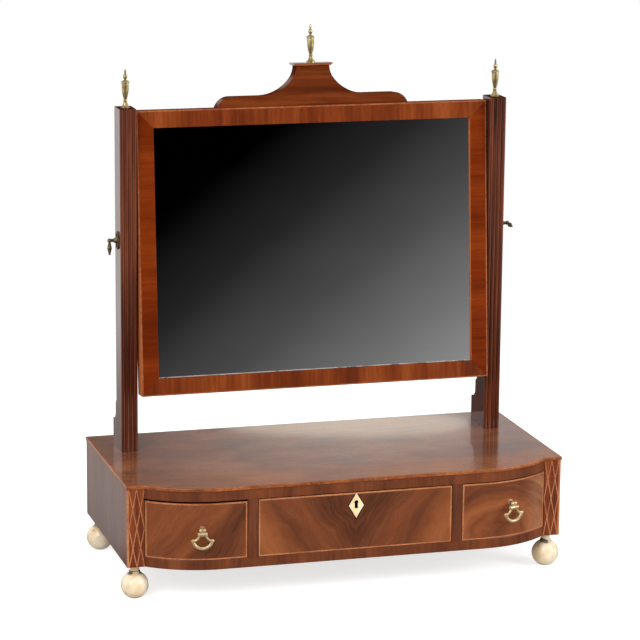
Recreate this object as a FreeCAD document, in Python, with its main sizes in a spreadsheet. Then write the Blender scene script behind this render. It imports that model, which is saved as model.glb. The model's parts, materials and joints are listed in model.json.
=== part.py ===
"""Bow-front toilet mirror: a swing glass on two posts over a box of three drawers.

Millimetres. +Z is up, +X is the sitter's right and +Y runs from the front to the back.
The origin is at floor level, under the middle of the object.
"""
import FreeCAD
import Part
import Sketcher

import math
import operator
import os

DIMENSIONS = [
    # Box
    ("base_width", 520.0, "width of the top"),
    ("base_depth", 227.0, "pilaster front to back, at the top"),
    ("bow_rise", 31.0, "how far the bow swells in front of the pilasters"),
    ("bow_setback", 0.5, "bow ends behind the pilaster fronts"),
    ("bow_end_run", 83.0, "curved end of the bow, along the front"),
    ("box_height", 95.0, "box without its feet"),
    ("top_thickness", 8.0, "top board with the panel under it"),
    ("top_overhang", 1.2, "top beyond the box, front and sides"),
    ("edge_string_width", 3.0, "pale strip in the top's edge, across"),
    ("edge_string_height", 4.0, "pale strip in the top's edge and the board behind it, upright"),
    ("top_rail_height", 11.5, "rail above the drawers"),
    ("bottom_rail_height", 11.5, "rail and board below the drawers"),
    ("rail_depth", 22.0, "rails behind the bow's ends"),
    ("pilaster_width", 20.0, "corner pilaster, also the side board's thickness"),
    ("pilaster_depth", 24.0, "corner pilaster, front to back"),
    ("back_thickness", 8.0, "back board"),
    ("partition_thickness", 12.0, "partition between drawers"),
    ("partition_spacing", 242.0, "partitions, centre to centre"),
    # Inlay
    ("inlay_depth", 0.9, "stringing let into the wood"),
    ("lattice_width", 1.1, "lattice lines on the pilasters"),
    ("corner_string_width", 2.2, "string on the pilaster's outer corner"),
    ("drawer_string_width", 1.7, "string round a drawer front"),
    ("frame_string_width", 1.6, "string round the mirror frame"),
    # Feet
    ("foot_ball_diameter", 31.5, "ball of a foot"),
    ("foot_flat_diameter", 10.0, "flat that a foot stands on"),
    ("foot_ring_diameter", 12.6, "ring on top of the ball"),
    ("foot_ring_height", 2.2, "ring on top of the ball"),
    ("foot_neck_diameter", 10.2, "neck above the ring"),
    ("foot_neck_height", 7.6, "neck above the ring"),
    ("foot_tenon_diameter", 6.0, "tenon of a foot"),
    ("foot_tenon_length", 9.0, "tenon of a foot"),
    ("foot_inset_side", 11.5, "foot centre to the box side"),
    ("foot_inset_front", 14.0, "front foot centre to the pilaster front"),
    ("foot_inset_back", 20.0, "back foot centre to the box back"),
    # Drawers
    ("drawer_gap_side", 0.6, "play beside a drawer"),
    ("drawer_gap_top", 1.0, "play above the centre and right drawer fronts"),
    ("left_drawer_gap_top", 2.2, "play above the left drawer front"),
    ("drawer_gap_bottom", 0.3, "play under a drawer"),
    ("drawer_gap_back", 0.5, "play behind a closed drawer"),
    ("drawer_front_thickness", 15.0, "bowed drawer front"),
    ("drawer_wall", 6.0, "drawer sides and back"),
    ("drawer_side_height", 54.0, "drawer sides"),
    ("drawer_back_drop", 4.0, "drawer back below the sides"),
    ("drawer_bottom_thickness", 4.0, "drawer bottom"),
    ("drawer_bottom_rise", 2.0, "drawer bottom above the sides' lower edge"),
    # Drop handles
    ("left_handle_height", 32.3, "left bail's pivot above the drawer opening's floor"),
    ("right_handle_height", 36.9, "right bail's pivot above the drawer opening's floor"),
    ("handle_shift", 3.8, "handle to the right of its drawer's middle"),
    ("bail_front", 8.7, "bail's front before the straight of the bow"),
    ("stud_shank_diameter", 4.2, "shank of the stud"),
    ("stud_flange_diameter", 6.0, "flange against the drawer"),
    ("stud_flange_thickness", 1.4, "flange against the drawer"),
    ("stud_tail_diameter", 3.2, "tail in the drawer front"),
    ("stud_tail_length", 10.0, "tail in the drawer front"),
    ("stud_knob_diameter", 4.0, "each of the two knobs on the stud"),
    ("stud_knob_spacing", 4.2, "knobs, centre to centre"),
    ("eye_drop", 4.8, "eye below the knobs"),
    ("eye_diameter", 4.8, "eye that holds the bail"),
    ("eye_width", 4.6, "eye that holds the bail"),
    ("lug_depth", 3.0, "lug between the knobs and the eye"),
    ("running_clearance", 0.05, "radial play of a pin in its hole"),
    ("bail_side_gap", 0.15, "play beside the eye"),
    ("bail_pin_diameter", 2.2, "pin through the eye"),
    ("bail_collar_diameter", 4.6, "collar beside the eye"),
    ("bail_collar_width", 3.0, "collar beside the eye"),
    ("bail_arm_diameter", 2.7, "flared arms"),
    ("bail_arm_drop", 0.5, "start of the arms' flare below the pivot"),
    ("bail_bow_diameter", 3.7, "lower bow"),
    ("bail_tip_diameter", 4.1, "knob where an arm meets the bow"),
    ("bail_width", 21.6, "knob to knob"),
    ("bail_drop", 16.3, "pivot to the lower bow's middle"),
    ("bail_horn_reach", 2.5, "pointed horn beyond a knob's centre"),
    ("bail_horn_root_diameter", 2.9, "pointed horn in its knob"),
    ("bail_horn_end_diameter", 1.2, "pointed horn at its end"),
    # Lock and escutcheon
    ("escutcheon_width", 17.6, "bone lozenge"),
    ("escutcheon_height", 29.4, "bone lozenge"),
    ("escutcheon_gap", 0.4, "lozenge's point below the drawer's top edge"),
    ("escutcheon_proud", 0.3, "lozenge in front of the veneer"),
    ("keyhole_diameter", 4.6, "round of the keyhole"),
    ("keyhole_slot_width", 3.9, "slot of the keyhole"),
    ("keyhole_slot_length", 7.4, "slot below the round's centre"),
    ("keyhole_rise", 3.8, "round's centre above the lozenge's centre"),
    ("lock_width", 36.0, "lock case"),
    ("lock_height", 32.0, "lock case"),
    ("lock_depth", 10.0, "lock case"),
    ("lock_cover", 8.0, "wood left in front of the lock"),
    ("lock_plate", 3.0, "front plate of the lock"),
    ("bolt_width", 12.0, "lock bolt"),
    ("bolt_thickness", 4.0, "lock bolt"),
    ("bolt_length", 20.0, "lock bolt"),
    ("bolt_gap", 0.2, "play round the bolt"),
    ("bolt_recess", 0.4, "drawn bolt below the drawer's top edge"),
    ("bolt_throw", 6.0, "travel of the bolt"),
    ("mortise_gap", 0.6, "play round the thrown bolt"),
    # Posts
    ("post_inset", 26.7, "post's outer face to the top's side"),
    ("post_width", 19.5, "post, side to side"),
    ("post_depth", 30.0, "post, front to back"),
    ("post_height", 403.0, "post above the top"),
    ("reed_rise", 1.5, "roundness of a reed"),
    ("bracket_back_inset", 34.8, "bracket's back to the box back"),
    ("bracket_reach", 18.0, "bracket behind the post"),
    ("bracket_step_height", 31.0, "upright back of the bracket"),
    ("bracket_lip", 2.2, "ledge at the bracket's step"),
    ("bracket_neck", 4.5, "upper stage of the bracket behind the post"),
    ("bracket_height", 55.5, "whole bracket"),
    ("post_tenon_width", 9.0, "tenon through the top, side to side"),
    ("post_tenon_depth", 16.0, "tenon through the top, front to back"),
    # Urn finials
    ("finial_spigot_diameter", 3.0, "spigot"),
    ("finial_spigot_length", 8.0, "spigot"),
    ("finial_foot_diameter", 10.8, "spreading foot"),
    ("finial_foot_rim", 0.9, "edge of the foot"),
    ("finial_foot_height", 6.3, "spreading foot"),
    ("finial_stem_diameter", 4.2, "stem"),
    ("finial_stem_height", 1.0, "stem"),
    ("finial_bead_height", 2.4, "bead above the stem"),
    ("finial_urn_root", 3.4, "urn's lower diameter"),
    ("finial_urn_diameter", 7.9, "urn's upper diameter"),
    ("finial_urn_height", 18.6, "urn"),
    ("finial_rim_diameter", 9.6, "rim of the urn"),
    ("finial_rim_height", 1.2, "rim of the urn"),
    ("finial_lid_height", 2.2, "domed lid"),
    ("finial_neck_diameter", 2.4, "neck above the lid"),
    ("finial_neck_height", 1.2, "neck above the lid"),
    ("finial_knop_height", 6.2, "knop"),
    ("finial_tip_diameter", 1.6, "root of the tip"),
    ("finial_tip_height", 5.2, "tip"),
    ("finial_point_diameter", 0.7, "blunt end of the tip"),
    # Swing frame
    ("pivot_height", 249.5, "pivot above the top"),
    ("tilt_angle", 4.7, "rest lean of the mirror, top to the back"),
    ("frame_gap", 1.9, "frame to post"),
    ("frame_top_drop", 4.6, "frame below the post tops"),
    ("frame_bottom_gap", 67.2, "frame above the box top"),
    ("frame_band", 20.3, "face width of the frame"),
    ("frame_thickness", 22.0, "frame, front to back"),
    ("frame_front_offset", 15.0, "frame front before the pivot"),
    ("frame_lip", 3.5, "wood in front of the glass"),
    ("rebate_width", 5.0, "rebate behind the lip"),
    ("glass_fit", 0.5, "play round the glass"),
    ("glass_thickness", 3.0, "mirror plate"),
    ("backboard_thickness", 4.0, "board behind the glass"),
    ("pin_diameter", 1.4, "pin that holds the board"),
    ("pin_length", 10.0, "pin that holds the board"),
    ("pin_hold", 5.0, "pin inside the frame"),
    ("pin_inset", 70.0, "pin from the glass edge"),
    # Crest
    ("crest_width", 231.0, "crest at its foot"),
    ("crest_thickness", 18.0, "crest, front to back"),
    ("crest_setback", 2.5, "crest behind the frame's front"),
    ("crest_shoulder_height", 12.7, "flat shoulders"),
    ("crest_end_run", 17.5, "rounded end of a shoulder"),
    ("crest_sweep_width", 43.0, "cove from neck to shoulder"),
    ("crest_sweep_fullness", 0.74, "upper cove radius over cove height"),
    ("crest_height", 46.4, "crest to its neck"),
    ("crest_neck_width", 40.0, "neck"),
    ("cap_width", 48.5, "cap, upper edge"),
    ("cap_chamfer", 2.6, "cap's upper edge beyond its lower edge"),
    ("cap_overhang", 2.0, "cap before and behind the crest"),
    ("cap_thickness", 3.0, "cap"),
    # Pivot hardware
    ("nut_plate_thickness", 2.0, "nut plate in the frame's edge"),
    ("nut_plate_width", 10.0, "nut plate in the frame's edge"),
    ("nut_plate_height", 26.0, "nut plate in the frame's edge"),
    ("plate_width", 13.0, "pivot plate on the post"),
    ("plate_height", 21.0, "pivot plate on the post"),
    ("plate_end_rise", 4.5, "rounded ends of the pivot plate"),
    ("plate_thickness", 1.6, "pivot plate on the post"),
    ("plate_screw_spacing", 13.0, "plate screws, centre to centre"),
    ("plate_screw_head_diameter", 3.6, "plate screw head"),
    ("plate_screw_head_height", 0.9, "plate screw head"),
    ("plate_screw_diameter", 2.0, "plate screw"),
    ("plate_screw_length", 8.0, "plate screw"),
    ("screw_diameter", 4.6, "pivot screw"),
    ("screw_engagement", 10.0, "pivot screw inside the frame"),
    ("screw_gap", 0.15, "pivot screw's boss to the plate"),
    ("screw_boss_diameter", 9.0, "boss, at the plate"),
    ("screw_boss_length", 3.6, "boss"),
    ("screw_arm_diameter", 3.8, "arm beyond the boss"),
    ("screw_arm_length", 4.5, "boss to the drop lever"),
    ("screw_elbow_diameter", 5.0, "elbow"),
    ("lever_neck_diameter", 2.8, "drop lever below the elbow"),
    ("lever_swell_diameter", 5.4, "drop lever at its widest"),
    ("lever_swell_drop", 9.0, "widest part below the arm"),
    ("lever_tip_diameter", 1.8, "drop lever's end"),
    ("lever_length", 17.0, "drop lever"),
    ("right_screw_turn", 85.0, "right lever, turned forward from hanging"),
]

REED_COUNT = 4
SIDES = {"left": -1, "right": 1}
AXES = {"X": (1, 0, 0), "Y": (0, 1, 0), "Z": (0, 0, 1)}
PLANES = {"X": "YZ_Plane", "Y": "XZ_Plane", "Z": "XY_Plane"}
# Turn that lays an upright cylinder along each axis: the axis of that turn and its angle.
LAY_ALONG = {"X": ((0, 1, 0), 90), "Y": ((1, 0, 0), -90), "Z": ((0, 0, 1), 0)}
OPERATIONS = {"+": operator.add, "-": operator.sub, "*": operator.mul, "/": operator.truediv}
CUT_SPARE = 1.0
COUNTER_CLOCKWISE = 1
CLOCKWISE = -1

doc = FreeCAD.newDocument("toilet_mirror")
sheet = doc.addObject("Spreadsheet::Sheet", "dims")
nodes = {}


class Size:
    """A number together with the sheet expression that it comes from."""

    def __init__(self, text, value):
        self.text = text
        self.value = value

    def __add__(self, other):
        return combine(self, "+", other)

    def __radd__(self, other):
        return combine(other, "+", self)

    def __sub__(self, other):
        return combine(self, "-", other)

    def __rsub__(self, other):
        return combine(other, "-", self)

    def __mul__(self, other):
        return combine(self, "*", other)

    def __rmul__(self, other):
        return combine(other, "*", self)

    def __truediv__(self, other):
        return combine(self, "/", other)

    def __neg__(self):
        return Size(f"(-{self.text})", -self.value)


def as_size(number):
    if isinstance(number, Size):
        return number
    return Size(f"({float(number)})", float(number))


def combine(first, sign, second):
    first = as_size(first)
    second = as_size(second)
    return Size(f"({first.text} {sign} {second.text})", OPERATIONS[sign](first.value, second.value))


def ordered(first, second):
    """Two sizes, the lower one first."""
    return sorted((as_size(first), as_size(second)), key=lambda size: size.value)


def root(size):
    return Size(f"sqrt({size.text})", math.sqrt(size.value))


def arcsine(ratio):
    return Size(f"asin({ratio.text})", math.degrees(math.asin(ratio.value)))


def arctangent(ratio):
    return Size(f"atan({ratio.text})", math.degrees(math.atan(ratio.value)))


def sine(angle):
    return Size(f"sin({angle.text})", math.sin(math.radians(angle.value)))


def cosine(angle):
    return Size(f"cos({angle.text})", math.cos(math.radians(angle.value)))


def arc_radius(chord, rise):
    """Radius of an arc from its chord and its rise."""
    return (chord * chord / 4 + rise * rise) / (rise * 2)


def chord_between(first, second):
    across = as_size(second[0]) - first[0]
    along = as_size(second[1]) - first[1]
    return root(across * across + along * along)


def fill_sheet():
    """Write the driving dimensions to the sheet and return them as sizes."""
    sizes = {}
    for row, (alias, value, meaning) in enumerate(DIMENSIONS, start=1):
        sheet.set(f"A{row}", meaning)
        sheet.set(f"B{row}", str(value))
        sheet.setAlias(f"B{row}", alias)
        sizes[alias] = Size(f"dims.{alias}", value)
    doc.recompute()
    return sizes


def bind(thing, path, size):
    thing.setExpression(path, as_size(size).text)


def place(thing, at, axis="Z", angle=0):
    """Put a thing at a point, turned about one of its own axes."""
    x, y, z = [as_size(number) for number in at]
    angle = as_size(angle)
    turn = FreeCAD.Rotation(FreeCAD.Vector(*AXES[axis]), angle.value)
    thing.Placement = FreeCAD.Placement(FreeCAD.Vector(x.value, y.value, z.value), turn)
    bind(thing, "Placement.Base.x", x)
    bind(thing, "Placement.Base.y", y)
    bind(thing, "Placement.Base.z", z)
    if angle.value:
        bind(thing, "Placement.Rotation.Angle", angle)
    return thing


def box(name, x, y, z):
    """A block between pairs of limits along X, Y and Z."""
    block = doc.addObject("Part::Box", name)
    for side, limits in zip(("Length", "Width", "Height"), (x, y, z)):
        bind(block, side, as_size(limits[1]) - limits[0])
    return place(block, (x[0], y[0], z[0]))


def rod(name, axis, diameter, start, end, across=(0, 0)):
    """A cylinder along an axis between two levels, at the other two coordinates."""
    cylinder = doc.addObject("Part::Cylinder", name)
    bind(cylinder, "Radius", as_size(diameter) / 2)
    bind(cylinder, "Height", as_size(end) - start)
    return lay(cylinder, axis, start, across)


def lay(thing, axis, start, across):
    at = list(across)
    at.insert("XYZ".index(axis), start)
    x, y, z = [as_size(number) for number in at]
    turn_axis, turn_angle = LAY_ALONG[axis]
    turn = FreeCAD.Rotation(FreeCAD.Vector(*turn_axis), turn_angle)
    thing.Placement = FreeCAD.Placement(FreeCAD.Vector(x.value, y.value, z.value), turn)
    bind(thing, "Placement.Base.x", x)
    bind(thing, "Placement.Base.y", y)
    bind(thing, "Placement.Base.z", z)
    return thing


def ball(name, diameter, at):
    sphere = doc.addObject("Part::Sphere", name)
    bind(sphere, "Radius", as_size(diameter) / 2)
    return place(sphere, at)


def join(name, shapes):
    whole = doc.addObject("Part::MultiFuse", name)
    whole.Shapes = shapes
    whole.Refine = True
    return whole


def cut(name, base, tools):
    for count, tool in enumerate(tools, start=1):
        rest = doc.addObject("Part::Cut", f"{name}_cut_{count}")
        rest.Base = base
        rest.Tool = tool
        base = rest
    return base


def meet(name, first, second):
    shared = doc.addObject("Part::Common", name)
    shared.Base = first
    shared.Tool = second
    return shared


def group(name, things):
    together = doc.addObject("Part::Compound", name)
    together.Links = things
    return together


def new_body(name):
    return doc.addObject("PartDesign::Body", name)


def sketch_across(body, axis, level):
    """A sketch square to an axis at a level; its plane's normal is -Y for the Y axis."""
    sketch = body.newObject("Sketcher::SketchObject", f"{body.Name}_sketch")
    plane = next(item for item in body.Origin.OriginFeatures if item.Role == PLANES[axis])
    sketch.AttachmentSupport = [(plane, "")]
    sketch.MapMode = "FlatFace"
    offset = -as_size(level) if axis == "Y" else as_size(level)
    sketch.AttachmentOffset = FreeCAD.Placement(FreeCAD.Vector(0, 0, offset.value), FreeCAD.Rotation())
    bind(sketch, "AttachmentOffset.Base.z", offset)
    return sketch


def hold(sketch, kind, target, size):
    """Add a dimension from the sketch's origin, or of a curve, bound to a size."""
    size = as_size(size)
    if kind == "Radius":
        constraint = Sketcher.Constraint(kind, target, size.value)
    else:
        constraint = Sketcher.Constraint(kind, -1, 1, target[0], target[1], size.value)
    index = sketch.addConstraint(constraint)
    bind(sketch, f"Constraints[{index}]", size)


def arc_between(start, end, radius, turn):
    """An arc of under half a circle, as the curve and whether its own ends are swapped."""
    across = end[0] - start[0]
    along = end[1] - start[1]
    length = math.hypot(across, along)
    height = math.sqrt(radius * radius - length * length / 4)
    centre_x = (start[0] + end[0]) / 2 - turn * height * along / length
    centre_y = (start[1] + end[1]) / 2 + turn * height * across / length
    swapped = turn == CLOCKWISE
    first, last = (end, start) if swapped else (start, end)
    first_angle = math.atan2(first[1] - centre_y, first[0] - centre_x)
    last_angle = math.atan2(last[1] - centre_y, last[0] - centre_x)
    circle = Part.Circle(FreeCAD.Vector(centre_x, centre_y, 0), FreeCAD.Vector(0, 0, 1), radius)
    return Part.ArcOfCircle(circle, first_angle, last_angle), swapped


def draw(sketch, outline):
    """Draw a closed outline whose corners are (x, y), or (x, y, radius, turn) after an arc."""
    corners = [[as_size(number) for number in corner[:2]] for corner in outline]
    ends = []
    for index, corner in enumerate(outline):
        start = [number.value for number in corners[index - 1]]
        end = [number.value for number in corners[index]]
        if len(corner) == 4:
            curve, swapped = arc_between(start, end, as_size(corner[2]).value, corner[3])
        else:
            curve = Part.LineSegment(FreeCAD.Vector(*start, 0), FreeCAD.Vector(*end, 0))
            swapped = False
        geometry = sketch.addGeometry(curve)
        ends.append((geometry, 1, 2) if not swapped else (geometry, 2, 1))
    for index, corner in enumerate(outline):
        geometry, first, last = ends[index]
        after, after_first, after_last = ends[(index + 1) % len(ends)]
        sketch.addConstraint(Sketcher.Constraint("Coincident", geometry, last, after, after_first))
        hold(sketch, "DistanceX", (geometry, last), corners[index][0])
        hold(sketch, "DistanceY", (geometry, last), corners[index][1])
        if len(corner) == 4:
            hold(sketch, "Radius", geometry, corner[2])


def draw_circle(sketch, centre, diameter):
    middle = FreeCAD.Vector(as_size(centre[0]).value, as_size(centre[1]).value, 0)
    radius = as_size(diameter) / 2
    geometry = sketch.addGeometry(Part.Circle(middle, FreeCAD.Vector(0, 0, 1), radius.value))
    hold(sketch, "DistanceX", (geometry, 3), centre[0])
    hold(sketch, "DistanceY", (geometry, 3), centre[1])
    hold(sketch, "Radius", geometry, radius)


def pad(body, axis, outlines, start, end, circles=()):
    """Add a prism of closed outlines, the first outside and the rest holes, along an axis."""
    sketch = sketch_across(body, axis, end if axis == "Y" else start)
    for outline in outlines:
        draw(sketch, outline)
    for centre, diameter in circles:
        draw_circle(sketch, centre, diameter)
    prism = body.newObject("PartDesign::Pad", f"{body.Name}_pad")
    prism.Profile = sketch
    bind(prism, "Length", as_size(end) - start)
    return body


def turn_on_lathe(name, outline):
    """A body turned about Z from an outline of (radius, height) corners."""
    body = new_body(name)
    sketch = sketch_across(body, "Y", 0)
    draw(sketch, outline)
    turning = body.newObject("PartDesign::Revolution", f"{name}_turning")
    turning.Profile = sketch
    turning.ReferenceAxis = (sketch, ["V_Axis"])
    turning.Angle = 360
    return body


def rectangle(x, y):
    return [(x[0], y[0]), (x[1], y[0]), (x[1], y[1]), (x[0], y[1])]


def node(name, thing):
    thing.Label = name
    nodes[name] = thing


d = type("Dimensions", (), fill_sheet())

# Levels and lines that the pieces share
foot_ball_centre = root(d.foot_ball_diameter * d.foot_ball_diameter
                        - d.foot_flat_diameter * d.foot_flat_diameter) / 2
foot_ring_floor = foot_ball_centre + root(d.foot_ball_diameter * d.foot_ball_diameter
                                          - d.foot_ring_diameter * d.foot_ring_diameter) / 2
foot_neck_floor = foot_ring_floor + d.foot_ring_height
box_floor = foot_neck_floor + d.foot_neck_height
box_top = box_floor + d.box_height
carcase_top = box_top - d.edge_string_height
top_floor = box_top - d.top_thickness
opening_floor = box_floor + d.bottom_rail_height
opening_top = carcase_top - d.top_rail_height

half_width = d.base_width / 2
carcase_half = half_width - d.top_overhang
opening_half = carcase_half - d.pilaster_width
partition_inner = d.partition_spacing / 2 - d.partition_thickness / 2
partition_outer = d.partition_spacing / 2 + d.partition_thickness / 2

back = (d.base_depth + d.bow_rise - d.top_overhang + d.bail_front) / 2
top_front = back - d.base_depth
pilaster_front = top_front + d.top_overhang
pilaster_back = pilaster_front + d.pilaster_depth
back_board_front = back - d.back_thickness
bow_end = pilaster_front + d.bow_setback
bow_sag = d.bow_rise + d.bow_setback
bow_apex = bow_end - bow_sag
bow_flat = opening_half - d.bow_end_run
bow_radius = arc_radius(d.bow_end_run * 2, bow_sag)
bow_centre = bow_apex + bow_radius
rail_back = bow_end + d.rail_depth
bow_clearance_front = bow_apex - d.bow_rise

post_x = half_width - d.post_inset - d.post_width / 2
post_y = back - d.bracket_back_inset - d.bracket_reach - d.post_depth / 2
pivot = (0, post_y, box_top + d.pivot_height)
frame_half = post_x - d.post_width / 2 - d.frame_gap
frame_top = d.post_height - d.frame_top_drop - d.pivot_height
frame_bottom = d.frame_bottom_gap - d.pivot_height
frame_front = -d.frame_front_offset
frame_back = frame_front + d.frame_thickness
rebate_inset = d.frame_band - d.rebate_width
glass_front = frame_front + d.frame_lip
board_front = glass_front + d.glass_thickness
board_back = board_front + d.backboard_thickness
screw_bore = d.screw_diameter + d.running_clearance * 2
screw_levels = (d.plate_screw_spacing / 2, -d.plate_screw_spacing / 2)


def bow_line(x, inset):
    """Y of the bow's curved end at x, this far behind its face."""
    radius = bow_radius - inset
    over = x - bow_flat
    return bow_centre - root(radius * radius - over * over)


def bowed(name, inset, bottom, top, rear=back):
    """A prism behind the bow's line, which is straight in the middle and curves to the pilasters."""
    radius = bow_radius - inset
    straight = bow_apex + inset
    end = bow_line(opening_half, inset)
    outline = [
        (-opening_half, rear),
        (-opening_half, end),
        (-bow_flat, straight, radius, COUNTER_CLOCKWISE),
        (bow_flat, straight),
        (opening_half, end, radius, COUNTER_CLOCKWISE),
        (opening_half, rear),
    ]
    return pad(new_body(f"{name}_prism"), "Z", [outline], bottom, top)


def make_top():
    """Top board with a pale strip round its front and sides, and a panel under it inside the box."""
    def outline(name, inset, bottom, top):
        behind = inset - d.top_overhang
        bow = bowed(f"{name}_bow", behind, bottom, top)
        field = box(f"{name}_field", (-half_width + inset, half_width - inset),
                    (bow_line(opening_half, behind), back), (bottom, top))
        caps = []
        for side, sign in SIDES.items():
            limits = ordered((opening_half - d.top_overhang) * sign, (half_width - inset) * sign)
            caps.append(box(f"{name}_{side}_cap", limits, (top_front + inset, back), (bottom, top)))
        return join(name, [bow, field, *caps])

    edge = outline("edge_outside", 0, carcase_top, box_top)
    inside = outline("edge_inside", d.edge_string_width, carcase_top - CUT_SPARE, box_top + CUT_SPARE)
    strip = cut("edge_strip", edge, [inside])
    plate = outline("top_plate", d.edge_string_width, carcase_top, box_top)
    panel = box("top_panel", (-opening_half, opening_half), (rail_back, back_board_front),
                (top_floor, carcase_top))
    mortises = [box(f"{side}_mortise",
                    (post_x * sign - d.post_tenon_width / 2, post_x * sign + d.post_tenon_width / 2),
                    (post_y - d.post_tenon_depth / 2, post_y + d.post_tenon_depth / 2),
                    (top_floor - CUT_SPARE, box_top + CUT_SPARE)) for side, sign in SIDES.items()]
    node("top_board", cut("top", join("top_blank", [plate, panel]), mortises))
    node("top_edge_stringing", strip)


def make_rails():
    """Bowed rails above and below the drawers, the upper one with a mortise for the lock's bolt."""
    mortise_half = d.bolt_width / 2 + d.mortise_gap
    bolt_y = bow_apex + d.lock_cover + d.lock_plate
    mortise_top = opening_top + d.bolt_throw - d.bolt_recess - d.drawer_gap_top + d.mortise_gap
    mortise = box("bolt_mortise", (-mortise_half, mortise_half),
                  (bolt_y - d.mortise_gap, bolt_y + d.bolt_thickness + d.mortise_gap * 2),
                  (opening_top - CUT_SPARE, mortise_top))
    upper = bowed("top_rail", 0, opening_top, carcase_top, rail_back)
    node("front_top_rail", cut("top_rail", upper, [mortise]))
    node("front_bottom_rail", bowed("bottom_rail", 0, box_floor, opening_floor, rail_back))


def make_carcase():
    """Boards, partitions and pilaster blocks behind the veneered front."""
    node("bottom_board", box("bottom_board_block", (-opening_half, opening_half),
                             (rail_back, back_board_front), (box_floor, opening_floor)))
    node("back_board", box("back_board_block", (-opening_half, opening_half),
                           (back_board_front, back), (box_floor, carcase_top)))
    for side, sign in SIDES.items():
        if sign < 0:
            outer = (-carcase_half, -opening_half)
            middle = (-partition_outer, -partition_inner)
        else:
            outer = (opening_half, carcase_half)
            middle = (partition_inner, partition_outer)
        board = box(f"{side}_side_block", outer, (pilaster_back, back), (box_floor, carcase_top))
        node(f"{side}_side_board", cut(f"{side}_side", board, [foot_hole("back", side)]))
        upright = meet(f"{side}_partition_bowed",
                       bowed(f"{side}_partition", 0, opening_floor, top_floor),
                       box(f"{side}_partition_block", middle, (bow_clearance_front, back_board_front),
                           (opening_floor, top_floor)))
        notch = box(f"{side}_partition_notch", (middle[0] - CUT_SPARE, middle[1] + CUT_SPARE),
                    (bow_clearance_front, rail_back), (opening_top, top_floor + CUT_SPARE))
        node(f"{side}_partition", cut(f"{side}_partition", upright, [notch]))


def foot_place(end, side):
    x = (carcase_half - d.foot_inset_side) * SIDES[side]
    y = pilaster_front + d.foot_inset_front if end == "front" else back - d.foot_inset_back
    return x, y


def foot_hole(end, side):
    return rod(f"{end}_{side}_foot_hole", "Z", d.foot_tenon_diameter, box_floor - CUT_SPARE,
               box_floor + d.foot_tenon_length, foot_place(end, side))


def make_feet():
    """Turned ball feet with a flat to stand on, a ring, a slim neck and a tenon in the box."""
    tenon_top = box_floor + d.foot_tenon_length
    profile = [
        (0, 0),
        (d.foot_flat_diameter / 2, 0),
        (d.foot_ring_diameter / 2, foot_ring_floor, d.foot_ball_diameter / 2, COUNTER_CLOCKWISE),
        (d.foot_ring_diameter / 2, foot_neck_floor),
        (d.foot_neck_diameter / 2, foot_neck_floor),
        (d.foot_neck_diameter / 2, box_floor),
        (d.foot_tenon_diameter / 2, box_floor),
        (d.foot_tenon_diameter / 2, tenon_top),
        (0, tenon_top),
    ]
    for end in ("front", "back"):
        for side in SIDES:
            foot = turn_on_lathe(f"{end}_{side}_foot_body", profile)
            node(f"{end}_{side}_foot", place(foot, (*foot_place(end, side), 0)))


def make_pilasters():
    """Corner pilasters inlaid with a cross inside a lozenge and a corner string."""
    inlays = []
    for side, sign in SIDES.items():
        inner = opening_half * sign
        outer = carcase_half * sign
        field_edge = (carcase_half - d.corner_string_width) * sign
        left, right = ordered(inner, outer)
        field_left, field_right = ordered(inner, field_edge)
        string_left, string_right = ordered(field_edge, outer)
        inlay_back = pilaster_front + d.inlay_depth
        lattice = make_lattice(side, field_left, field_right, inlay_back)
        string = box(f"{side}_corner_string", (string_left, string_right),
                     (pilaster_front, pilaster_front + d.corner_string_width), (box_floor, carcase_top))
        block = box(f"{side}_pilaster_block", (left, right), (pilaster_front, pilaster_back),
                    (box_floor, carcase_top))
        cuts = [lattice, string, foot_hole("front", side)]
        node(f"{side}_pilaster", cut(f"{side}_pilaster", block, cuts))
        inlays += [lattice, string]
    node("pilaster_stringing", group("pilaster_inlay", inlays))


def make_lattice(side, left, right, inlay_back):
    """Two diagonals of a field and the lozenge between its edges' middles, as one inlay."""
    width = right - left
    height = carcase_top - box_floor
    centre_x = (left + right) / 2
    centre_z = (carcase_top + box_floor) / 2
    slope = arctangent(height / width)
    length = root(width * width + height * height)
    quarter = width / 4
    lift = height / 4
    lines = [("cross_up", centre_x, centre_z, 1), ("cross_down", centre_x, centre_z, -1)]
    lines += [("lozenge_ul", centre_x - quarter, centre_z + lift, 1),
              ("lozenge_lr", centre_x + quarter, centre_z - lift, 1),
              ("lozenge_ur", centre_x + quarter, centre_z + lift, -1),
              ("lozenge_ll", centre_x - quarter, centre_z - lift, -1)]
    strips = []
    for name, x, z, direction in lines:
        run = cosine(slope)
        climb = sine(slope) * direction
        strip = doc.addObject("Part::Box", f"{side}_{name}")
        bind(strip, "Length", length)
        bind(strip, "Width", d.inlay_depth)
        bind(strip, "Height", d.lattice_width)
        corner_x = x - length / 2 * run + d.lattice_width / 2 * climb
        corner_z = z - length / 2 * climb - d.lattice_width / 2 * run
        strips.append(place(strip, (corner_x, pilaster_front, corner_z), "Y", slope * -direction))
    field = box(f"{side}_lattice_field", (left, right), (pilaster_front, inlay_back),
                (box_floor, carcase_top))
    return meet(f"{side}_lattice", join(f"{side}_lattice_strips", strips), field)


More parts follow.
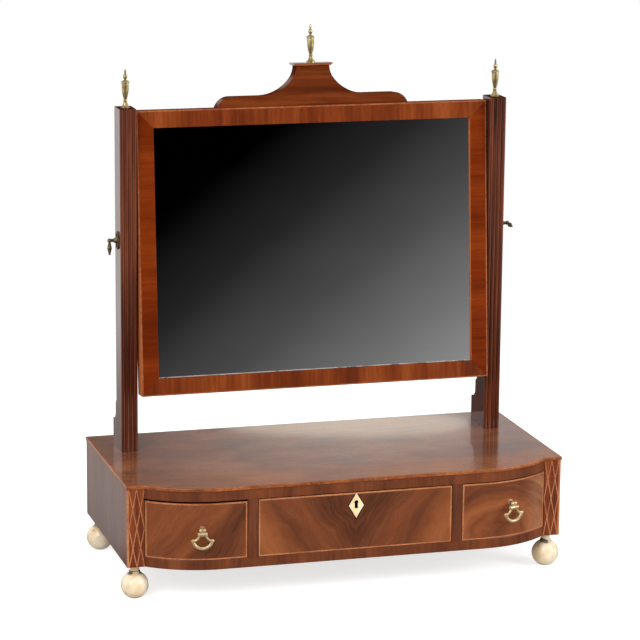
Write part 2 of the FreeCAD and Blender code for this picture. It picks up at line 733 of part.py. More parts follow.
def make_drawers():
    """Three bow-front drawers, each a front, a string, two sides, a back and a bottom."""
    front_floor = opening_floor + d.drawer_gap_bottom
    drawer_end = back_board_front - d.drawer_gap_back
    spans = {
        "left": (-opening_half + d.drawer_gap_side, -partition_outer - d.drawer_gap_side),
        "centre": (-partition_inner + d.drawer_gap_side, partition_inner - d.drawer_gap_side),
        "right": (partition_outer + d.drawer_gap_side, opening_half - d.drawer_gap_side),
    }
    gaps_above = {"left": d.left_drawer_gap_top, "centre": d.drawer_gap_top, "right": d.drawer_gap_top}

    def shell(name, thickness, top):
        outside = bowed(f"{name}_outside", 0, front_floor, top)
        inside = bowed(f"{name}_inside", thickness, front_floor - CUT_SPARE, top + CUT_SPARE)
        return cut(f"{name}_shell", outside, [inside])

    def behind_front(name, x, y, z):
        core = bowed(f"{name}_core", d.drawer_front_thickness, z[0], z[1])
        return meet(f"{name}_fitted", core, box(f"{name}_block", x, y, z))

    for name, (left, right) in spans.items():
        depth = (bow_clearance_front, back)
        front_top = opening_top - gaps_above[name]
        whole = box(f"{name}_front_block", (left, right), depth, (front_floor, front_top))
        inset = d.drawer_string_width
        window = box(f"{name}_front_window", (left + inset, right - inset), depth,
                     (front_floor + inset, front_top - inset))
        solid = shell(f"{name}_front", d.drawer_front_thickness, front_top)
        blank = meet(f"{name}_front_blank", solid, whole)
        sheet_of_string = meet(f"{name}_string_sheet", shell(f"{name}_string", d.inlay_depth, front_top), whole)
        string_cuts = [window]
        if name == "centre":
            fittings = make_lock(front_top)
            string_cuts.append(fittings[0])
        else:
            fittings = make_handle(name, (left + right) / 2 + d.handle_shift)
        string = cut(f"{name}_string_loop", sheet_of_string, string_cuts)
        node(f"{name}_drawer_front", cut(f"{name}_front", blank, [string, *fittings]))
        node(f"{name}_drawer_stringing", string)

        side_top = front_floor + d.drawer_side_height
        length = (bow_clearance_front, drawer_end)
        walls = [behind_front(f"{name}_wall_{count}", x, length, (front_floor, side_top))
                 for count, x in enumerate([(left, left + d.drawer_wall), (right - d.drawer_wall, right)])]
        node(f"{name}_drawer_sides", group(f"{name}_walls", walls))
        inside = (left + d.drawer_wall, right - d.drawer_wall)
        bottom_floor = front_floor + d.drawer_bottom_rise
        bottom_top = bottom_floor + d.drawer_bottom_thickness
        panel = behind_front(f"{name}_bottom", inside, length, (bottom_floor, bottom_top))
        rear = box(f"{name}_back_block", inside, (drawer_end - d.drawer_wall, drawer_end),
                   (bottom_top, side_top - d.drawer_back_drop))
        node(f"{name}_drawer_bottom", panel)
        node(f"{name}_drawer_back", rear)


def make_handle(name, x):
    """A stud with an eye and a drop bail, built about the bail's pivot; returns the stud's hole."""
    sign = SIDES[name]
    height = {"left": d.left_handle_height, "right": d.right_handle_height}[name]
    centre_x = bow_flat * sign
    angle = arcsine((x - centre_x) / bow_radius)
    lean = d.bail_width / 2 * sine(angle) * sign
    from_centre = (bow_radius + d.bail_front - d.bail_tip_diameter / 2 - lean) / cosine(angle)
    at = (centre_x + from_centre * sine(angle), bow_centre - from_centre * cosine(angle),
          opening_floor + height)

    face = from_centre - bow_radius
    stud_line = (0, d.eye_drop)
    eye_half = d.eye_width / 2
    flange_front = face - d.stud_flange_thickness
    shank = rod(f"{name}_shank", "Y", d.stud_shank_diameter, 0, (flange_front + face) / 2, stud_line)
    flange = rod(f"{name}_flange", "Y", d.stud_flange_diameter, flange_front, face, stud_line)
    tail = rod(f"{name}_tail", "Y", d.stud_tail_diameter, flange_front, face + d.stud_tail_length, stud_line)
    knobs = [ball(f"{name}_{side}_knob", d.stud_knob_diameter, (d.stud_knob_spacing / 2 * way, *stud_line))
             for side, way in SIDES.items()]
    lug = box(f"{name}_lug", (-eye_half, eye_half), (-d.lug_depth / 2, d.lug_depth / 2), (0, d.eye_drop))
    eye = rod(f"{name}_eye", "X", d.eye_diameter, -eye_half, eye_half)
    eye_hole = rod(f"{name}_eye_hole", "X", d.bail_pin_diameter + d.running_clearance * 2,
                   -eye_half - CUT_SPARE, eye_half + CUT_SPARE)
    solid = join(f"{name}_stud_solid", [shank, flange, tail, *knobs, lug, eye])
    stud = cut(f"{name}_stud", solid, [eye_hole])
    node(f"{name}_handle_stud", place(stud, at, "Z", angle))
    node(f"{name}_handle_bail", place(make_bail(name), at, "Z", angle))

    hole = rod(f"{name}_tail_hole", "Y", d.stud_tail_diameter, face - CUT_SPARE, face + d.stud_tail_length,
               stud_line)
    return [place(group(f"{name}_tail_hole_placed", [hole]), at, "Z", angle)]


def make_bail(name):
    """A pin with two collars, flared arms, pointed horns and a lower bow, in its own plane X, Z."""
    collar_start = d.eye_width / 2 + d.bail_side_gap
    collar_end = collar_start + d.bail_collar_width
    arm_x = (collar_start + collar_end) / 2
    tip_x = d.bail_width / 2
    flare = tip_x - arm_x
    tip_z = -flare - d.bail_arm_drop
    pieces = [rod(f"{name}_pin", "X", d.bail_pin_diameter, -arm_x, arm_x)]
    for side, sign in SIDES.items():
        start, end = ordered(collar_start * sign, collar_end * sign)
        pieces.append(rod(f"{name}_{side}_collar", "X", d.bail_collar_diameter, start, end))
        arm = doc.addObject("Part::Torus", f"{name}_{side}_arm")
        bind(arm, "Radius1", flare)
        bind(arm, "Radius2", d.bail_arm_diameter / 2)
        arm.Angle3 = 90
        # The quarter ring starts at its own +X and turns towards +Y: lay it from the collar to the tip.
        upright = FreeCAD.Rotation(FreeCAD.Vector(1, 0, 0), 90)
        start_angle = 180 if sign > 0 else 270
        spun = FreeCAD.Rotation(FreeCAD.Vector(0, -1, 0), start_angle)
        arm.Placement = FreeCAD.Placement(FreeCAD.Vector(tip_x.value * sign, 0, 0), spun.multiply(upright))
        bind(arm, "Placement.Base.x", tip_x * sign)
        bind(arm, "Placement.Base.z", -d.bail_arm_drop)
        pieces.append(arm)
        pieces.append(ball(f"{name}_{side}_tip", d.bail_tip_diameter, (tip_x * sign, 0, tip_z)))
        root_end = ordered(tip_x * sign, (tip_x + d.bail_horn_reach) * sign)
        widths = [d.bail_horn_root_diameter, d.bail_horn_end_diameter][::sign]
        horn = doc.addObject("Part::Cone", f"{name}_{side}_horn")
        bind(horn, "Radius1", widths[0] / 2)
        bind(horn, "Radius2", widths[1] / 2)
        bind(horn, "Height", d.bail_horn_reach)
        pieces.append(lay(horn, "X", root_end[0], (0, tip_z)))
    bow_ring_radius = arc_radius(d.bail_width, d.bail_drop + tip_z)
    ring = doc.addObject("Part::Torus", f"{name}_lower_ring")
    bind(ring, "Radius1", bow_ring_radius)
    bind(ring, "Radius2", d.bail_bow_diameter / 2)
    lay(ring, "Y", 0, (0, bow_ring_radius - d.bail_drop))
    reach = bow_ring_radius * 2
    below = box(f"{name}_below_tips", (-reach, reach), (-reach, reach), (-reach * 2, tip_z))
    pieces.append(meet(f"{name}_lower_bow", ring, below))
    return join(f"{name}_bail", pieces)


def make_lock(front_top):
    """Bone escutcheon, lock case and bolt of the centre drawer; returns what the front gives up.

    The escutcheon comes first in the list, because the string gives way to its point too.
    """
    middle = front_top - d.escutcheon_gap - d.escutcheon_height / 2
    deep = (bow_clearance_front, bow_apex + d.inlay_depth * 2)
    lozenge = pad(new_body("lozenge_body"), "Y", [[
        (0, middle - d.escutcheon_height / 2),
        (d.escutcheon_width / 2, middle),
        (0, middle + d.escutcheon_height / 2),
        (-d.escutcheon_width / 2, middle),
    ]], *deep)
    low = middle - d.escutcheon_height
    high = middle + d.escutcheon_height
    outside = bowed("lozenge_outside", -d.escutcheon_proud, low, high)
    inside = bowed("lozenge_inside", d.inlay_depth, low - CUT_SPARE, high + CUT_SPARE)
    plate = meet("lozenge_plate", cut("lozenge_skin", outside, [inside]), lozenge)

    lock_front = bow_apex + d.lock_cover
    lock_back = lock_front + d.lock_depth
    key_z = middle + d.keyhole_rise
    through = (bow_clearance_front, lock_front + d.lock_plate / 2)
    keyhole = join("keyhole", [
        rod("keyhole_round", "Y", d.keyhole_diameter, through[0], through[1], (0, key_z)),
        box("keyhole_slot", (-d.keyhole_slot_width / 2, d.keyhole_slot_width / 2), through,
            (key_z - d.keyhole_slot_length, key_z)),
    ])
    case = box("lock_block", (-d.lock_width / 2, d.lock_width / 2), (lock_front, lock_back),
               (front_top - d.lock_height, front_top))
    bolt_front = lock_front + d.lock_plate + d.bolt_gap
    bolt_top = front_top - d.bolt_recess
    bolt_x = (-d.bolt_width / 2, d.bolt_width / 2)
    bolt_y = (bolt_front, bolt_front + d.bolt_thickness)
    bolt_z = (bolt_top - d.bolt_length, bolt_top)
    bolt = box("bolt_block", bolt_x, bolt_y, bolt_z)
    channel = box("bolt_channel", (bolt_x[0] - d.bolt_gap, bolt_x[1] + d.bolt_gap),
                  (bolt_y[0] - d.bolt_gap, bolt_y[1] + d.bolt_gap),
                  (bolt_z[0] - d.bolt_gap, front_top + CUT_SPARE))
    node("escutcheon", cut("escutcheon", plate, [keyhole]))
    node("lock_case", cut("lock_case", case, [keyhole, channel]))
    node("lock_bolt", bolt)
    return [plate, keyhole, case]


def make_posts():
    """Posts with a reeded front, a bracket foot behind, a tenon below and a finial on top."""
    half = d.post_width / 2
    deep = d.post_depth / 2
    reed_width = d.post_width / REED_COUNT
    reed_radius = arc_radius(reed_width, d.reed_rise)
    valley = d.reed_rise - deep
    plan = [(half, deep), (-half, deep), (-half, valley)]
    plan += [(reed_width * count - half, valley, reed_radius, COUNTER_CLOCKWISE)
             for count in range(1, REED_COUNT + 1)]
    heel = deep + d.bracket_reach
    cove = d.bracket_reach - d.bracket_lip - d.bracket_neck
    neck = deep + d.bracket_neck
    bracket = [
        (0, 0),
        (heel, 0),
        (heel, d.bracket_step_height),
        (heel - d.bracket_lip, d.bracket_step_height),
        (neck, d.bracket_step_height + cove, cove, CLOCKWISE),
        (neck, d.bracket_height - d.bracket_neck),
        (deep, d.bracket_height, d.bracket_neck, COUNTER_CLOCKWISE),
        (0, d.bracket_height),
    ]
    tenon = rectangle((-d.post_tenon_width / 2, d.post_tenon_width / 2),
                      (-d.post_tenon_depth / 2, d.post_tenon_depth / 2))
    for side, sign in SIDES.items():
        body = new_body(f"{side}_post_body")
        pad(body, "Z", [plan], 0, d.post_height)
        pad(body, "X", [bracket], -half, half)
        pad(body, "Z", [tenon], -d.top_thickness, 0)
        bore = rod(f"{side}_post_bore", "X", screw_bore, -half - CUT_SPARE, half + CUT_SPARE,
                   (0, d.pivot_height))
        socket = rod(f"{side}_post_socket", "Z", d.finial_spigot_diameter,
                     d.post_height - d.finial_spigot_length, d.post_height + CUT_SPARE)
        outward = half * sign
        inward = (half + d.plate_thickness + d.plate_screw_head_height - d.plate_screw_length) * sign
        pilot_x = ordered(outward + CUT_SPARE * sign, inward)
        pilots = [rod(f"{side}_plate_screw_hole", "X", d.plate_screw_diameter, *pilot_x,
                      (0, d.pivot_height + level)) for level in screw_levels]
        post = cut(f"{side}_post", body, [bore, socket, *pilots])
        node(f"{side}_post", place(post, (post_x * sign, post_y, box_top)))
        finial = make_finial(f"{side}_finial")
        node(f"{side}_finial", place(finial, (post_x * sign, post_y, box_top + d.post_height)))


def make_finial(name):
    """A turned urn on a spreading foot, with a spigot below."""
    foot = d.finial_foot_diameter / 2
    stem = d.finial_stem_diameter / 2
    urn_root = d.finial_urn_root / 2
    urn = d.finial_urn_diameter / 2
    rim = d.finial_rim_diameter / 2
    neck = d.finial_neck_diameter / 2
    tip = d.finial_tip_diameter / 2
    spigot = d.finial_spigot_diameter / 2
    stem_floor = d.finial_foot_height
    bead_floor = stem_floor + d.finial_stem_height
    urn_floor = bead_floor + d.finial_bead_height
    rim_floor = urn_floor + d.finial_urn_height
    lid_floor = rim_floor + d.finial_rim_height
    neck_floor = lid_floor + d.finial_lid_height
    knop_floor = neck_floor + d.finial_neck_height
    tip_floor = knop_floor + d.finial_knop_height
    top = tip_floor + d.finial_tip_height
    # Radius of each curve over its chord: half is a half circle, and more is flatter.
    cove, bead, swell, dome, knop, point = 1.5, 0.9, 2.4, 1.1, 0.65, 1.1

    def curve(start, end, flatness, turn):
        return (*end, chord_between(start, end) * flatness, turn)

    profile = [
        (0, -d.finial_spigot_length),
        (spigot, -d.finial_spigot_length),
        (spigot, 0),
        (foot, 0),
        (foot, d.finial_foot_rim),
        curve((foot, d.finial_foot_rim), (stem, stem_floor), cove, CLOCKWISE),
        (stem, bead_floor),
        curve((stem, bead_floor), (urn_root, urn_floor), bead, COUNTER_CLOCKWISE),
        curve((urn_root, urn_floor), (urn, rim_floor), swell, COUNTER_CLOCKWISE),
        (rim, rim_floor),
        (rim, lid_floor),
        curve((rim, lid_floor), (neck, neck_floor), dome, COUNTER_CLOCKWISE),
        (neck, knop_floor),
        curve((neck, knop_floor), (tip, tip_floor), knop, COUNTER_CLOCKWISE),
        curve((tip, tip_floor), (d.finial_point_diameter / 2, top), point, COUNTER_CLOCKWISE),
        (0, top),
    ]
    return turn_on_lathe(f"{name}_body", profile)


def on_mirror(name, thing):
    """Keep a piece made about the pivot, and lean it as the mirror leans at rest."""
    node(name, place(thing, pivot, "X", -d.tilt_angle))


def make_frame():
    """Four mitred rails with a string in the front edge and a rebate behind the glass."""
    string = d.frame_string_width
    string_back = frame_front + d.inlay_depth
    layers = [
        (string, d.frame_band, frame_front, string_back),
        (0, d.frame_band, string_back, glass_front),
        (0, rebate_inset, glass_front, frame_back),
    ]

    pins = make_pins()
    pin_holes = group("pin_holes", pins)
    on_mirror("backboard_pins", group("pin_set", pins))

    def rail(name, corners, cuts=()):
        body = new_body(f"{name}_body")
        for outer, inner, start, end in layers:
            pad(body, "Y", [corners(outer, inner)], start, end)
        on_mirror(name, cut(name, body, [pin_holes, *cuts]))

    def level_rail(edge, inward):
        return lambda outer, inner: [
            (-frame_half + outer, edge + inward * outer),
            (frame_half - outer, edge + inward * outer),
            (frame_half - inner, edge + inward * inner),
            (-frame_half + inner, edge + inward * inner)]

    def stile(sign):
        return lambda outer, inner: [
            ((frame_half - outer) * sign, frame_bottom + outer),
            ((frame_half - inner) * sign, frame_bottom + inner),
            ((frame_half - inner) * sign, frame_top - inner),
            ((frame_half - outer) * sign, frame_top - outer)]

    rail("frame_top_rail", level_rail(frame_top, -1))
    rail("frame_bottom_rail", level_rail(frame_bottom, 1))
    loop = [rectangle((-frame_half + inset, frame_half - inset), (frame_bottom + inset, frame_top - inset))
            for inset in (as_size(0), string)]
    on_mirror("frame_stringing", pad(new_body("frame_string_body"), "Y", loop, frame_front, string_back))

    nut_plates = []
    for side, sign in SIDES.items():
        edge = frame_half * sign
        plate_x = ordered(edge, (frame_half - d.nut_plate_thickness) * sign)
        bore_x = ordered(edge + sign * CUT_SPARE, (frame_half - d.screw_engagement - CUT_SPARE) * sign)
        bore = rod(f"{side}_nut_bore", "X", screw_bore, *bore_x)
        plate = box(f"{side}_nut_block", plate_x, (-d.nut_plate_width / 2, d.nut_plate_width / 2),
                    (-d.nut_plate_height / 2, d.nut_plate_height / 2))
        rail(f"frame_{side}_stile", stile(sign), [plate, bore])
        nut_plates.append(cut(f"{side}_nut_plate", plate, [bore]))
    on_mirror("frame_nut_plates", group("nut_plates", nut_plates))


def make_glass():
    """Mirror plate and the board behind it."""
    inset = rebate_inset + d.glass_fit
    outline = rectangle((-frame_half + inset, frame_half - inset),
                        (frame_bottom + inset, frame_top - inset))
    on_mirror("mirror_glass", pad(new_body("glass_body"), "Y", [outline], glass_front, board_front))
    on_mirror("mirror_backboard", pad(new_body("backboard_body"), "Y", [outline], board_front, board_back))


def make_pins():
    """Pins in the frame, two to a side, that lie against the board and hold it."""
    pin_y = board_back + d.pin_diameter / 2
    rebate_x = frame_half - rebate_inset
    rebate_top = frame_top - rebate_inset
    rebate_bottom = frame_bottom + rebate_inset
    pins = []
    for sign in SIDES.values():
        x = (rebate_x - d.pin_inset) * sign
        pins.append(rod("top_pin", "Z", d.pin_diameter, rebate_top + d.pin_hold - d.pin_length,
                        rebate_top + d.pin_hold, (x, pin_y)))
        pins.append(rod("bottom_pin", "Z", d.pin_diameter, rebate_bottom - d.pin_hold,
                        rebate_bottom - d.pin_hold + d.pin_length, (x, pin_y)))
        for z in (rebate_top - d.pin_inset, rebate_bottom + d.pin_inset):
            ends = ordered((rebate_x + d.pin_hold) * sign, (rebate_x + d.pin_hold - d.pin_length) * sign)
            pins.append(rod("side_pin", "X", d.pin_diameter, *ends, (pin_y, z)))
    return pins


def make_crest():
    """Shaped crest on the top rail, with a cap and an urn."""
    front = frame_front + d.crest_setback
    rear = front + d.crest_thickness
    shoulder = frame_top + d.crest_shoulder_height
    neck_top = frame_top + d.crest_height
    end = d.crest_width / 2
    shoulder_end = end - d.crest_end_run
    end_radius = arc_radius(d.crest_end_run * 2, d.crest_shoulder_height)
    neck = d.crest_neck_width / 2
    sweep_end = neck + d.crest_sweep_width
    fall = neck_top - shoulder
    across = d.crest_sweep_width
    # The cove is two tangent arcs, upright at the neck and level at the shoulder.
    upper = fall * d.crest_sweep_fullness
    lower = (across * across + fall * fall - across * upper * 2) / (fall * 2 - upper * 2)
    share = lower / (lower - upper)
    meet_x = sweep_end + (neck + upper - sweep_end) * share
    meet_z = shoulder + lower + (neck_top - shoulder - lower) * share
    outline = [
        (end, frame_top),
        (shoulder_end, shoulder, end_radius, COUNTER_CLOCKWISE),
        (sweep_end, shoulder),
        (meet_x, meet_z, lower, CLOCKWISE),
        (neck, neck_top, upper, CLOCKWISE),
        (-neck, neck_top),
        (-meet_x, meet_z, upper, CLOCKWISE),
        (-sweep_end, shoulder, lower, CLOCKWISE),
        (-shoulder_end, shoulder),
        (-end, frame_top, end_radius, COUNTER_CLOCKWISE),
    ]
    middle = (front + rear) / 2
    cap_top = neck_top + d.cap_thickness
    socket = rod("crest_socket", "Z", d.finial_spigot_diameter, cap_top - d.finial_spigot_length,
                 cap_top + CUT_SPARE, (0, middle))
    board = pad(new_body("crest_body"), "Y", [outline], front, rear)
    cap_half = d.cap_width / 2
    cap = pad(new_body("cap_body"), "Y", [[
        (-cap_half + d.cap_chamfer, neck_top),
        (cap_half - d.cap_chamfer, neck_top),
        (cap_half, cap_top),
        (-cap_half, cap_top),
    ]], front - d.cap_overhang, rear + d.cap_overhang)
    on_mirror("crest_board", cut("crest", board, [socket]))
    on_mirror("crest_cap", cut("cap", cap, [socket]))
    finial = place(make_finial("crest_finial"), (0, middle, cap_top))
    on_mirror("crest_finial", group("crest_finial_placed", [finial]))


def make_pivots():
    """Pivot plates with their screws on the posts, and the two pivot screws."""
    straight = d.plate_height / 2 - d.plate_end_rise
    half = d.plate_width / 2
    end_radius = arc_radius(d.plate_width, d.plate_end_rise)
    # Two arcs meet at each end's middle, so that neither reaches half a circle.
    outline = [
        (half, straight),
        (0, d.plate_height / 2, end_radius, COUNTER_CLOCKWISE),
        (-half, straight, end_radius, COUNTER_CLOCKWISE),
        (-half, -straight),
        (0, -d.plate_height / 2, end_radius, COUNTER_CLOCKWISE),
        (half, -straight, end_radius, COUNTER_CLOCKWISE),
    ]
    outer_face = post_x + d.post_width / 2
    screws = []
    for side, sign in SIDES.items():
        at = (outer_face * sign, post_y, pivot[2])
        facing = 0 if sign > 0 else 180
        holes = [((0, 0), screw_bore)]
        holes += [((0, level), d.plate_screw_diameter) for level in screw_levels]
        plate = pad(new_body(f"{side}_plate_body"), "X", [outline], 0, d.plate_thickness, circles=holes)
        node(f"{side}_pivot_plate", place(plate, at, "Z", facing))
        for level in screw_levels:
            head_end = d.plate_thickness + d.plate_screw_head_height
            shank = rod("plate_screw_shank", "X", d.plate_screw_diameter, head_end - d.plate_screw_length,
                        head_end, (0, level))
            head = rod("plate_screw_head", "X", d.plate_screw_head_diameter, d.plate_thickness, head_end,
                       (0, level))
            screws.append(place(join("plate_screw", [shank, head]), at, "Z", facing))
        screw = make_pivot_screw(side)
        if sign > 0:
            place(screw, at, "X", -d.right_screw_turn)
        else:
            place(screw, at, "Z", 180)
        node(f"{side}_pivot_screw", screw)
    node("plate_screws", group("plate_screw_set", screws))


def make_pivot_screw(side):
    """A shaft through the post with a boss, an arm and a drop lever, outward along X."""
    inner_end = -d.post_width - d.frame_gap - d.screw_engagement
    boss_start = d.plate_thickness + d.screw_gap
    boss_end = boss_start + d.screw_boss_length
    lever_x = boss_end + d.screw_arm_length
    shaft = rod(f"{side}_screw_shaft", "X", d.screw_diameter, inner_end, boss_end)
    boss = doc.addObject("Part::Cone", f"{side}_screw_boss")
    bind(boss, "Radius1", d.screw_boss_diameter / 2)
    bind(boss, "Radius2", d.screw_arm_diameter / 2)
    bind(boss, "Height", d.screw_boss_length)
    lay(boss, "X", boss_start, (0, 0))
    arm = rod(f"{side}_screw_arm", "X", d.screw_arm_diameter, boss_start, lever_x)
    elbow = ball(f"{side}_screw_elbow", d.screw_elbow_diameter, (lever_x, 0, 0))
    neck = d.lever_neck_diameter / 2
    swell = d.lever_swell_diameter / 2
    tip = d.lever_tip_diameter / 2
    lever = turn_on_lathe(f"{side}_lever_body", [
        (0, -d.lever_length),
        (tip, -d.lever_length),
        (swell, -d.lever_swell_drop),
        (neck, -d.screw_elbow_diameter / 2),
        (neck, 0),
        (0, 0),
    ])
    place(lever, (lever_x, 0, 0))
    return join(f"{side}_screw", [shaft, boss, arm, elbow, lever])


def check_and_export():
    """Stop on any failed object or bad solid, then write every piece to its own file."""
    doc.recompute()
    failed = [item.Name for item in doc.Objects if {"Invalid", "Error"} & set(item.State)]
    if failed:
        raise RuntimeError(f"failed objects: {failed}")
    for name, thing in nodes.items():
        shape = thing.Shape
        if shape.isNull() or not shape.isValid() or not shape.Solids:
            raise RuntimeError(f"bad solid: {name}")
    os.makedirs("parts", exist_ok=True)
    for name, thing in nodes.items():
        thing.Shape.exportStep(f"parts/{name}.step")
    print(f"{len(nodes)} pieces written")


make_top()
make_rails()
make_carcase()
make_feet()
make_pilasters()
make_drawers()
make_posts()
make_frame()
make_glass()
make_crest()
make_pivots()
check_and_export()
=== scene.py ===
"""Looks of the dressing table mirror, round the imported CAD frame. Metres, +Z up, -Y to the front."""

import json
import math

import bmesh
import bpy
from mathutils import Matrix, Vector
from mathutils.bvhtree import BVHTree


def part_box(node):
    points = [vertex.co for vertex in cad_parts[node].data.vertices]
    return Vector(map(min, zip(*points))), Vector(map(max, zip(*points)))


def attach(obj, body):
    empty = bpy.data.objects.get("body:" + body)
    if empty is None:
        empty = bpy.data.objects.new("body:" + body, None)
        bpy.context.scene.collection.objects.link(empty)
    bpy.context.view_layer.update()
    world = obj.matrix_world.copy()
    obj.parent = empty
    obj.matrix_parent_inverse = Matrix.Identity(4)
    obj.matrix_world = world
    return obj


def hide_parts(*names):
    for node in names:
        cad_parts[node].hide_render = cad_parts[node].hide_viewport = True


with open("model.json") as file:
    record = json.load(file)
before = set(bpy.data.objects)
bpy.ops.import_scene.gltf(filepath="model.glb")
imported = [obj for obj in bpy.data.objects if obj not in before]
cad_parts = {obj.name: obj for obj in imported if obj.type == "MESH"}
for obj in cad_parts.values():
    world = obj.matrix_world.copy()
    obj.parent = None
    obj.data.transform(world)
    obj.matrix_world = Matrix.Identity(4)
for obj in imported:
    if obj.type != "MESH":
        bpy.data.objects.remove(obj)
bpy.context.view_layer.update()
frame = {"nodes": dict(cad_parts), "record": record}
nodes = frame["nodes"]
record = frame["record"]
scene = bpy.context.scene
scene.view_settings.view_transform = "Standard"

MM = 0.001
WHITE = (1, 1, 1, 1)
BODY_OF = {name: body for body, names in record["behaviour"]["bodies"].items() for name in names}

# Lean of the mirror at rest, which its grain follows
MIRROR_TILT = math.radians(4.7)

# Camera at the photograph's angle
CAMERA_AZIMUTH = math.radians(-16.297)
CAMERA_ELEVATION = math.radians(12.485)
CAMERA_ROLL = math.radians(0.529)
CAMERA_DISTANCE = 3.0
CAMERA_TARGET = Vector((-0.07135, -0.21431, 0.34099))
CAMERA_LENS = 156.575
CAMERA_SENSOR = 36
CAMERA_REACH = 100

# What the glass shows: a room that lightens evenly to the right and downwards
ROOM_LIGHTEST = 212
ROOM_RIGHT = 4.328
ROOM_DOWN = 5.483
ROOM_START = 1.085
ROOM_STEPS = 5

# Spans of a ray's direction, along one axis each, over which the studio that the polish shows changes
TO_BACK = (-0.86, -0.45)
TO_FAR_BACK = (0.6, 0.9)
TO_RIGHT = (0.0, 0.12)
TO_OVERHEAD = (0.3, 0.9)
HUMP_RISE = (0.17, 0.29)
HUMP_FALL = (0.28, 0.42)
HUMP_TOP = (0.25, 0.28)

# Levels of that studio, and the light that falls on everything
STUDIO_DIM = 0.12
STUDIO_BRIGHT = 0.72
STUDIO_HALF = 0.5
STUDIO_OVERHEAD = 0.6
STUDIO_LIGHT = (0.72, 0.73, 0.74, 1)

# White floor, and what the polish shows of it, brighter at the left back
FLOOR_RADIUS = 1.7
FLOOR_SIDES = 96
FLOOR_FADE = (0.75, 1.55)
FLOOR_GLOW = 0.7
FLOOR_LEFT = (-0.2, -0.34)
FLOOR_BACK = (0.0, 0.15)
FLOOR_MIRRORED = (0.1, 0.43)
FLOOR_MIRRORED_COLOR = (1, 0.95, 0.91, 1)

# Levels between which most of a noise lies, and most of a wood's mixed noises
NOISE_SPAN = (0.3, 0.7)
GRAIN_SPAN = (0.38, 0.62)

# Polished wood: weight and roughness of the polish, gloss and relief of the wood, roughness of dry wood
POLISH = 0.7
POLISH_ROUGHNESS = 0.06
WOOD_GLOSS = 0.2
WOOD_RELIEF = 0.4 * MM
DRY_ROUGHNESS = 0.65

# How many times finer the pores are than the fibres
PORE_FINENESS = 4.5

# Figured veneer: how far the streaks wander, how much they show over the broad tones, and their slant
STREAK_WANDER = 0.022
STREAK_SHARE = 0.27
STREAK_SLANT = math.radians(55)

# Arcs on the right drawer front: middle as shares of the front, flattening, and length of grain by turn
ARC_ACROSS = 0.4
ARC_UP = 0.12
ARC_SQUEEZE = 1.35
ARC_RADIUS = 0.06

# Where the polish thins and a painted sheen pales the top, from back to front, and how far from its right end
# a painted sheen pales the right drawer front
TOP_WEAR_AND_SHEEN = (-30 * MM, -110 * MM)
PAINTED_SHEEN_START = 36 * MM
PAINTED_SHEEN_END = 4 * MM

# Ring on the ball of a turned foot, and the soot that fades out below and above it
FOOT_RING_FLOOR = 29.37 * MM
FOOT_RING_HEIGHT = 2.2 * MM
SOOT_BELOW = 2.0 * MM
SOOT_ABOVE = 0.9 * MM
SOOT_WAVER = 4 * MM

# Glass that stands in the lower rail, and the worn line above that
GLASS_COVER = 4.5 * MM
WORN_LINE_START = 0.5 * MM
WORN_LINE_END = 1.6 * MM

# Rounding of worn edges
CORNER = math.radians(28)
CREASE = math.radians(36)
FLAT = math.radians(0.3)
ROUNDING_STEPS = 3
SAME_POINT = 2e-6
TOUCHING = 0.08 * MM
EDGE_PROBES = (0.2, 0.5, 0.8)


def tone(red, green, blue):
    """A colour as a screen shows it, 0 to 255, as the linear colour that a shader takes."""
    linear = []
    for level in (red / 255, green / 255, blue / 255):
        linear.append(level / 12.92 if level <= 0.04045 else ((level + 0.055) / 1.055) ** 2.4)
    return (*linear, 1.0)


def palette(*colors):
    """The tones of several screen colours."""
    return [tone(*color) for color in colors]


def even_stops(tones):
    """Tones at even steps from 0 to 1."""
    return [(index / (len(tones) - 1), value) for index, value in enumerate(tones)]


# Dark tone painted as shade on the drawer fronts' faces in the gaps round them, and the darker outline round
# the lozenge-shaped plate
SHADE_AND_OUTLINE_TONE = tone(30, 14, 9)


